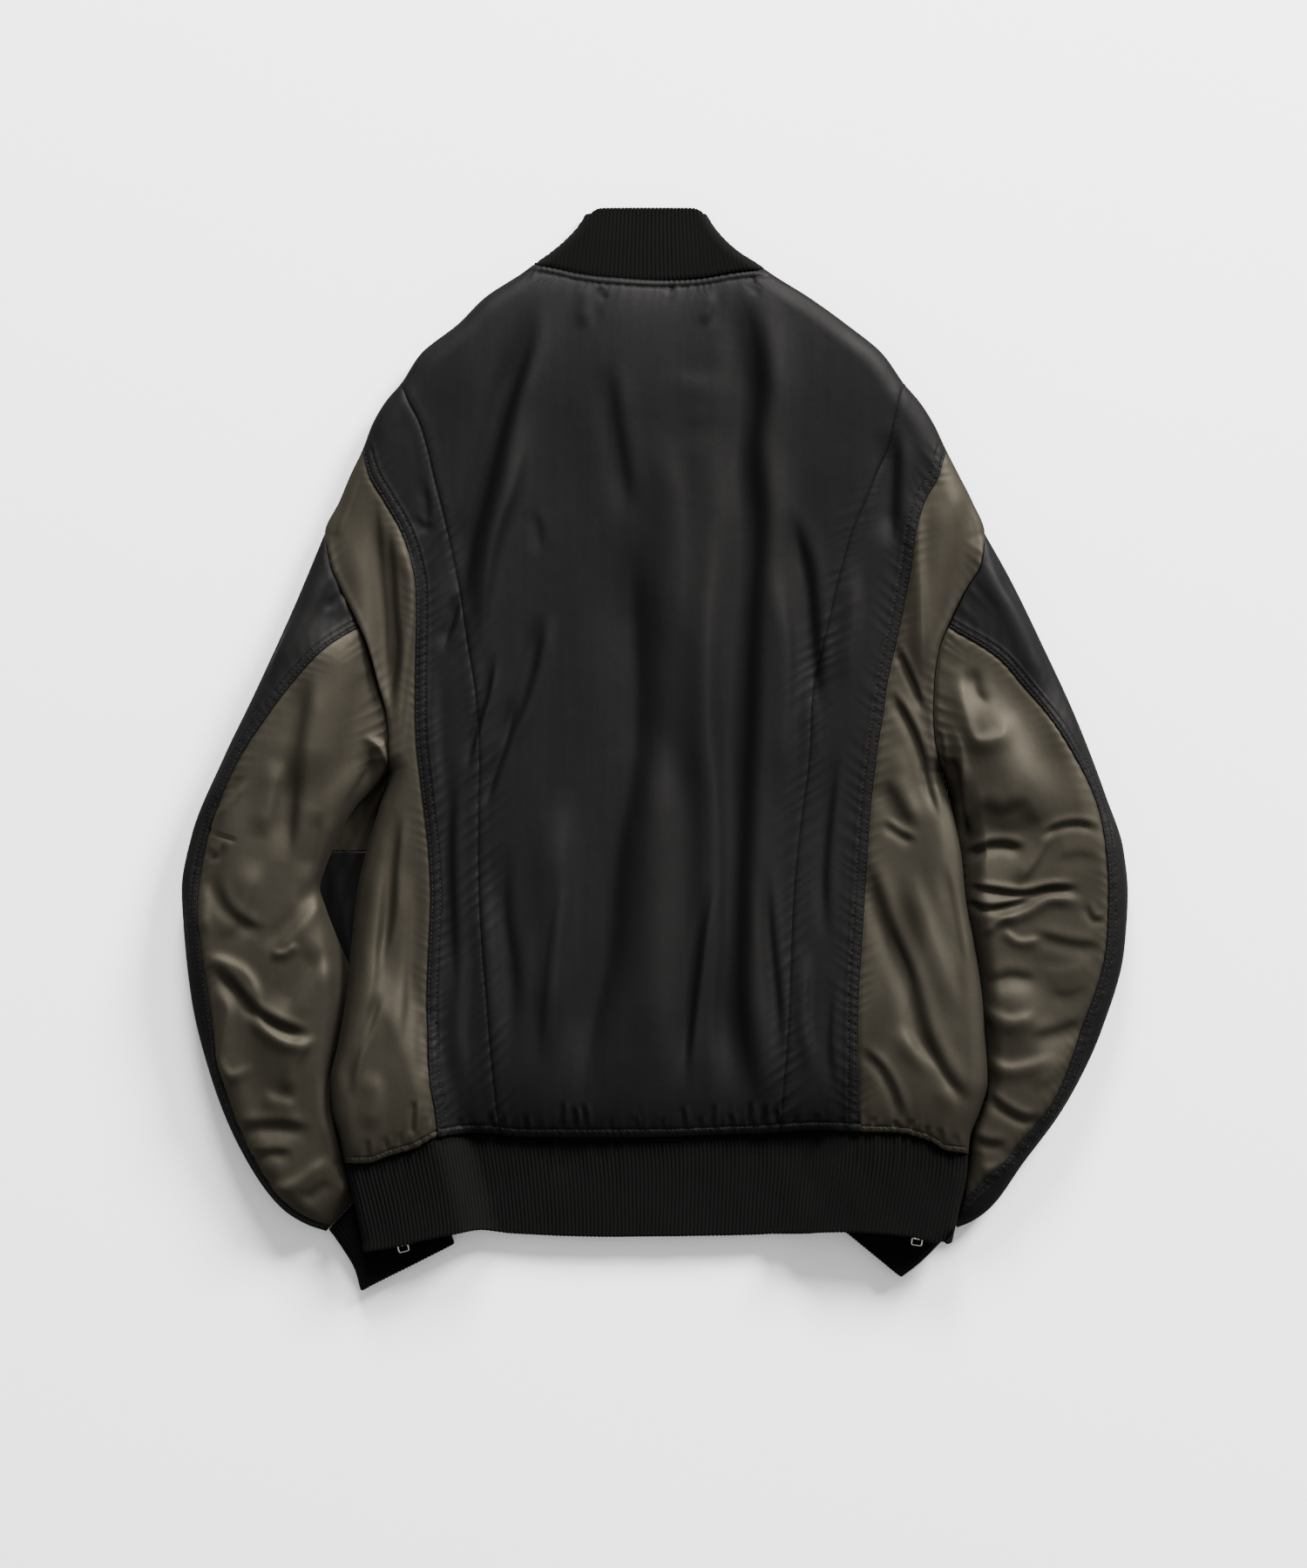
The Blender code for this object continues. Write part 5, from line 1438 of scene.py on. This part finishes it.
def sleeve_skin(side):
    total, c, _ = ARMS[side]
    s = np.linspace(0.0, total, 400)
    mid = Line(np.stack((0.5 * (c[0](s) + c[2](s)), 0.5 * (c[1](s) + c[3](s))), 1))
    seam = SLEEVE_SEAM[side]
    ss = np.linspace(0.0, total, int(total / 2.5))
    frac = np.r_[0.0, np.cumsum(seam.size)] / seam.length

    def skin(x, y):
        # place along the sleeve, read off the seam that the stitches follow
        _, _, place, _ = seam.to(x, y)
        at = np.interp(place / seam.length, frac, ss)
        p, n, d = form(x, y, arm_level(c[5](at)), ARM_LINES[side], True)
        return p + n * (sleeve_relief(side, x, y) * soft(d / 7.0))[:, None], n
    return skin


def make_stitches():
    hem = np.stack((np.linspace(-152.5, 143.0, 150),) * 2, 1)
    hem[:, 1] = HEM_Y + HEM_AT(hem[:, 0]) + 5.6
    black = [(COLOUR["L"], -ROW_A, 3.0, 3.0), (COLOUR["L"], -ROW_B, 10.0, 7.0),
             (COLOUR["R"], ROW_A, 3.0, 3.0), (COLOUR["R"], ROW_B, 10.0, 7.0),
             (Line(hem), 0.0, 1.0, 1.0)]
    olive = []
    for lo, hi, w in ((-218.5, -155.5, 4.0), (147.0, 222.0, 4.0)):
        x = np.linspace(lo, hi, 40)
        olive.append((Line(np.stack((x, HEM_Y + HEM_AT(x) + w), 1)), 0.0, 0.5, 0.5))
    PIECES["stitches_back"] = lay_stitches("stitches_back", black, back_skin, BODY_LINES)
    PIECES["stitches_hem_sides"] = lay_stitches("stitches_hem_sides", olive, back_skin, BODY_LINES)
    for side, out in (("L", 1.0), ("R", -1.0)):
        line = SLEEVE_SEAM[side]
        rows = [(line, out * 1.5, 4.0, 4.0)]
        # the second row ends where the outer panel is too narrow for it
        rows.append((line, out * 5.2, 4.0, 4.0))
        PIECES["stitches_sleeve_" + side] = lay_stitches(
            "stitches_sleeve_" + side, rows, sleeve_skin(side), ARM_LINES[side])


# ------------------------------------------------------------- materials --
class Graph:
    """Short hand for a material's nodes."""

    def __init__(self, name):
        self.material = bpy.data.materials.new(name)
        self.material.use_nodes = True
        self.tree = self.material.node_tree
        self.bsdf = self.tree.nodes["Principled BSDF"]
        self.where = self.add("ShaderNodeTexCoord").outputs["Object"]

    def add(self, kind, **values):
        node = self.tree.nodes.new(kind)
        for key, value in values.items():
            setattr(node, key, value)
        return node

    def link(self, a, b):
        self.tree.links.new(a, b)
        return b

    def put(self, node, **values):
        for key, value in values.items():
            socket = node.inputs[key.replace("_", " ")]
            if hasattr(value, "is_output"):
                self.link(value, socket)
            else:
                socket.default_value = value
        return node

    def mapped(self, scale, turn=0.0):
        m = self.add("ShaderNodeMapping")
        self.link(self.where, m.inputs["Vector"])
        m.inputs["Scale"].default_value = scale
        m.inputs["Rotation"].default_value = (0.0, 0.0, turn)
        return m.outputs["Vector"]

    def noise(self, scale, detail=3.0, rough=0.5, stretch=None, turn=0.0):
        n = self.add("ShaderNodeTexNoise")
        self.link(self.mapped(stretch or (1, 1, 1), turn), n.inputs["Vector"])
        self.put(n, Scale=scale, Detail=detail, Roughness=rough)
        return n.outputs["Fac"]

    def wave(self, scale, turn=0.0, direction="X"):
        n = self.add("ShaderNodeTexWave", bands_direction=direction)
        self.link(self.mapped((1, 1, 1), turn), n.inputs["Vector"])
        self.put(n, Scale=scale)
        return n.outputs["Fac"]

    def math(self, op, a, b=0.5, c=None):
        n = self.add("ShaderNodeMath", operation=op)
        for k, v in enumerate((a, b) if c is None else (a, b, c)):
            if hasattr(v, "is_output"):
                self.link(v, n.inputs[k])
            else:
                n.inputs[k].default_value = v
        return n.outputs[0]

    def span(self, fac, low, high, new_low, new_high):
        n = self.add("ShaderNodeMapRange")
        self.put(n, Value=fac, From_Min=low, From_Max=high, To_Min=new_low, To_Max=new_high)
        return n.outputs[0]

    def mix(self, fac, a, b):
        n = self.add("ShaderNodeMix", data_type="RGBA")
        for key, v in (("Factor_Float", fac), ("A_Color", a), ("B_Color", b)):
            socket = [i for i in n.inputs if i.identifier == key][0]
            if hasattr(v, "is_output"):
                self.link(v, socket)
            elif key == "Factor_Float":
                socket.default_value = v
            else:
                socket.default_value = (*v, 1.0)
        return [o for o in n.outputs if o.identifier == "Result_Color"][0]

    def attribute(self, name):
        return self.add("ShaderNodeAttribute", attribute_name=name).outputs["Fac"]

    def bump(self, height, distance, strength=1.0, under=None):
        n = self.add("ShaderNodeBump")
        self.put(n, Strength=strength, Distance=distance, Height=height)
        if under is not None:
            self.link(under, n.inputs["Normal"])
        return n.outputs["Normal"]


def nylon(name, dark, base, worn, rough, satin):
    """Satin-weave nylon: shaded dye, fine floats, small crinkles, and a
    paler, smoother cloth where it is rubbed."""
    g = Graph(name)
    b = g.bsdf
    cloudy = g.span(g.noise(7.0, 4.0, 0.55), 0.30, 0.70, 0.0, 1.0)
    colour = g.mix(cloudy, dark, base)
    streak = g.span(g.noise(160.0, 2.0, 0.5, (1.0, 0.06, 1.0)), 0.35, 0.65, 0.0, 1.0)
    colour = g.mix(g.math("MULTIPLY", streak, 0.07), colour, worn)
    wear_and_furrow_shade = g.attribute("wear_and_furrow_shade")
    colour = g.mix(g.math("MULTIPLY", wear_and_furrow_shade, 0.42), colour, worn)
    g.link(colour, b.inputs["Base Color"])
    r = g.span(g.noise(22.0, 3.0, 0.5), 0.3, 0.7, rough - 0.05, rough + 0.06)
    r = g.math("SUBTRACT", r, g.math("MULTIPLY", wear_and_furrow_shade, 0.05))
    g.link(r, b.inputs["Roughness"])
    # floats of the satin, then crinkles
    warp = g.wave(430.0, 0.0, "X")
    twill = g.wave(300.0, math.radians(63), "X")
    weave = g.math("ADD", g.math("MULTIPLY", warp, 0.5), g.math("MULTIPLY", twill, 0.5))
    n1 = g.bump(weave, 0.00003, 0.35)
    n2 = g.bump(g.noise(210.0, 4.0, 0.6, (1.0, 0.7, 1.0)), 0.00016, 0.55, n1)
    dents = g.noise(34.0, 4.0, 0.6, (1.0, 0.55, 1.0), 0.8)
    crisp = g.math("ABSOLUTE", g.math("SUBTRACT", dents, 0.5), 0.0)
    n3 = g.bump(crisp, 0.0011, 0.42, n2)
    g.link(n3, b.inputs["Normal"])
    # the floats of a satin shine in the colour of their yarn, and not more
    # when seen from the side
    b.inputs["Metallic"].default_value = satin
    b.inputs["Specular Tint"].default_value = (0.25, 0.25, 0.25, 1.0)
    b.inputs["Specular IOR Level"].default_value = 0.04
    b.inputs["Sheen Weight"].default_value = 0.003
    b.inputs["Sheen Roughness"].default_value = 0.4
    return g.material


def knit(name, dark, base):
    """Rib knit: rows of stitches across the ribs, fuzz, and painted shade that darkens the furrows between the ribs."""
    g = Graph(name)
    b = g.bsdf
    wear_and_furrow_shade = g.attribute("wear_and_furrow_shade")
    fuzz = g.span(g.noise(420.0, 3.0, 0.6), 0.3, 0.7, 0.0, 1.0)
    # painted shade: where the rib height is low, in the furrows between the ribs, the knit gets the dark colour
    colour = g.mix(wear_and_furrow_shade, dark, base)
    colour = g.mix(g.math("MULTIPLY", fuzz, 0.35), colour, [c * 1.5 for c in base])
    patch = g.span(g.noise(16.0, 3.0, 0.5), 0.35, 0.7, 0.0, 0.35)
    colour = g.mix(patch, colour, [c * 0.6 for c in base])
    g.link(colour, b.inputs["Base Color"])
    g.link(g.span(fuzz, 0.0, 1.0, 0.78, 0.95), b.inputs["Roughness"])
    rows = g.wave(230.0, 0.0, "Y")
    n1 = g.bump(rows, 0.00010, 0.12)
    n2 = g.bump(g.noise(900.0, 3.0, 0.6), 0.00012, 0.5, n1)
    g.link(n2, b.inputs["Normal"])
    b.inputs["Sheen Weight"].default_value = 0.010
    b.inputs["Sheen Roughness"].default_value = 0.6
    b.inputs["Sheen Tint"].default_value = (1.0, 1.0, 0.96, 1.0)
    b.inputs["Specular IOR Level"].default_value = 0.03
    return g.material


def metal(name, bright, dull, rough):
    g = Graph(name)
    b = g.bsdf
    tarnish = g.span(g.noise(600.0, 4.0, 0.6), 0.35, 0.7, 0.0, 1.0)
    g.link(g.mix(tarnish, bright, dull), b.inputs["Base Color"])
    g.link(g.span(tarnish, 0.0, 1.0, rough, rough + 0.2), b.inputs["Roughness"])
    scratches = g.noise(2500.0, 2.0, 0.6, (1.0, 0.15, 1.0), 0.6)
    g.link(g.bump(scratches, 0.00003, 0.4), b.inputs["Normal"])
    b.inputs["Metallic"].default_value = 1.0
    return g.material


def thread(name, base, light):
    g = Graph(name)
    b = g.bsdf
    ply = g.wave(900.0, math.radians(35), "X")
    # painted highlight: the crests of the twisted plies, raised by the same wave in the bump, get the lighter colour
    g.link(g.mix(ply, base, light), b.inputs["Base Color"])
    g.link(g.bump(ply, 0.00005, 0.6), b.inputs["Normal"])
    g.link(g.span(ply, 0.0, 1.0, 0.55, 0.75), b.inputs["Roughness"])
    b.inputs["Specular IOR Level"].default_value = 0.12
    return g.material


def make_materials():
    return {
        "black": nylon("black_satin_nylon", (0.0072, 0.0070, 0.0070), (0.0087, 0.0084, 0.0083),
                       (0.0165, 0.0159, 0.0154), 0.60, 0.72),
        "olive": nylon("olive_satin_nylon", (0.0215, 0.0190, 0.0143), (0.0255, 0.0228, 0.0175),
                       (0.0400, 0.0362, 0.0284), 0.62, 0.72),
        "knit": knit("black_rib_knit", (0.0004, 0.0004, 0.0004), (0.0016, 0.0016, 0.0015)),
        "metal": metal("nickel", (0.66, 0.65, 0.62), (0.42, 0.41, 0.39), 0.22),
        "thread_black": thread("black_thread", (0.0014, 0.0014, 0.0013), (0.0040, 0.0038, 0.0036)),
        "thread_olive": thread("olive_thread", (0.0075, 0.0064, 0.0042), (0.0180, 0.0155, 0.0110)),
    }


# ------------------------------------------------------------ stage, view --
def make_stage():
    mesh = bpy.data.meshes.new("floor")
    size = 6.0
    mesh.from_pydata([(-size, -size, -0.0004), (size, -size, -0.0004),
                      (size, size, -0.0004), (-size, size, -0.0004)], [], [(0, 1, 2, 3)])
    floor = bpy.data.objects.new("floor", mesh)
    bpy.context.scene.collection.objects.link(floor)
    g = Graph("pale_board")
    tone = g.span(g.noise(3.0, 2.0, 0.5), 0.3, 0.7, 0.0, 1.0)
    g.link(g.mix(tone, (0.895, 0.895, 0.895), (0.905, 0.905, 0.905)), g.bsdf.inputs["Base Color"])
    g.bsdf.inputs["Roughness"].default_value = 0.9
    g.bsdf.inputs["Specular IOR Level"].default_value = 0.1
    mesh.materials.append(g.material)


def aim(obj, target):
    way = Vector(target) - obj.location
    obj.rotation_euler = way.to_track_quat("-Z", "Y").to_euler()


def add_area(name, place, target, size, power, colour=(1, 1, 1)):
    light = bpy.data.lights.new(name, "AREA")
    light.shape = "DISK"
    light.size = size
    light.energy = power
    light.color = colour
    obj = bpy.data.objects.new(name, light)
    obj.location = place
    bpy.context.scene.collection.objects.link(obj)
    aim(obj, target)
    return obj


def make_light():
    world = bpy.data.worlds.new("studio")
    world.use_nodes = True
    back = world.node_tree.nodes["Background"]
    back.inputs["Color"].default_value = (1.0, 1.0, 1.0, 1.0)
    back.inputs["Strength"].default_value = WORLD_LIGHT
    bpy.context.scene.world = world
    add_area("key", (3.45, 4.15, 2.45), (0.0, 0.0, 0.0), 2.0, KEY_LIGHT, (1.0, 0.995, 0.985))
    add_area("fill", (-0.2, 4.3, 2.0), (0.0, 0.0, 0.0), 1.5, FILL_LIGHT)


def make_camera():
    cam = bpy.data.cameras.new("camera")
    cam.lens = 135.0
    cam.sensor_width = 36.0
    cam.sensor_fit = "AUTO"
    cam.clip_end = 30.0
    obj = bpy.data.objects.new("camera", cam)
    obj.location = (-0.0009, -0.0248, 0.020 + 1.116 * 135.0 / 36.0)
    bpy.context.scene.collection.objects.link(obj)
    bpy.context.scene.camera = obj


WORLD_LIGHT = 0.84
KEY_LIGHT = 1690.0
FILL_LIGHT = 750.0

# --------------------------------------------------------------- assembly --
make_stage()
make_camera()
make_light()
MATERIALS = make_materials()
make_body()
make_fronts()
make_left_side()
make_sleeves()
make_ribs()
make_stitches()

LOOK = {"side_panel_L": "olive", "side_panel_R": "olive", "underarm_L": "olive",
        "sleeve_back_L": "olive", "sleeve_back_R": "olive",
        "hem_rib": "knit", "collar_rib": "knit", "cuff_L": "knit", "cuff_R": "knit",
        "stitches_back": "thread_black", "stitches_hem_sides": "thread_olive",
        "stitches_sleeve_L": "thread_black", "stitches_sleeve_R": "thread_black"}

for name, obj in PIECES.items():
    look = LOOK.get(name, "black")
    obj.data.materials.append(MATERIALS[look])
    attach(obj, "jacket")
    if not name.startswith("stitches"):
        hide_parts(name)
for node in ("front_zip", "front_zip_slider", "zip_slider_L", "zip_slider_R",
             "pull_loop_L", "pull_loop_R"):
    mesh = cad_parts[node].data
    mesh.materials.clear()
    mesh.materials.append(MATERIALS["metal"])
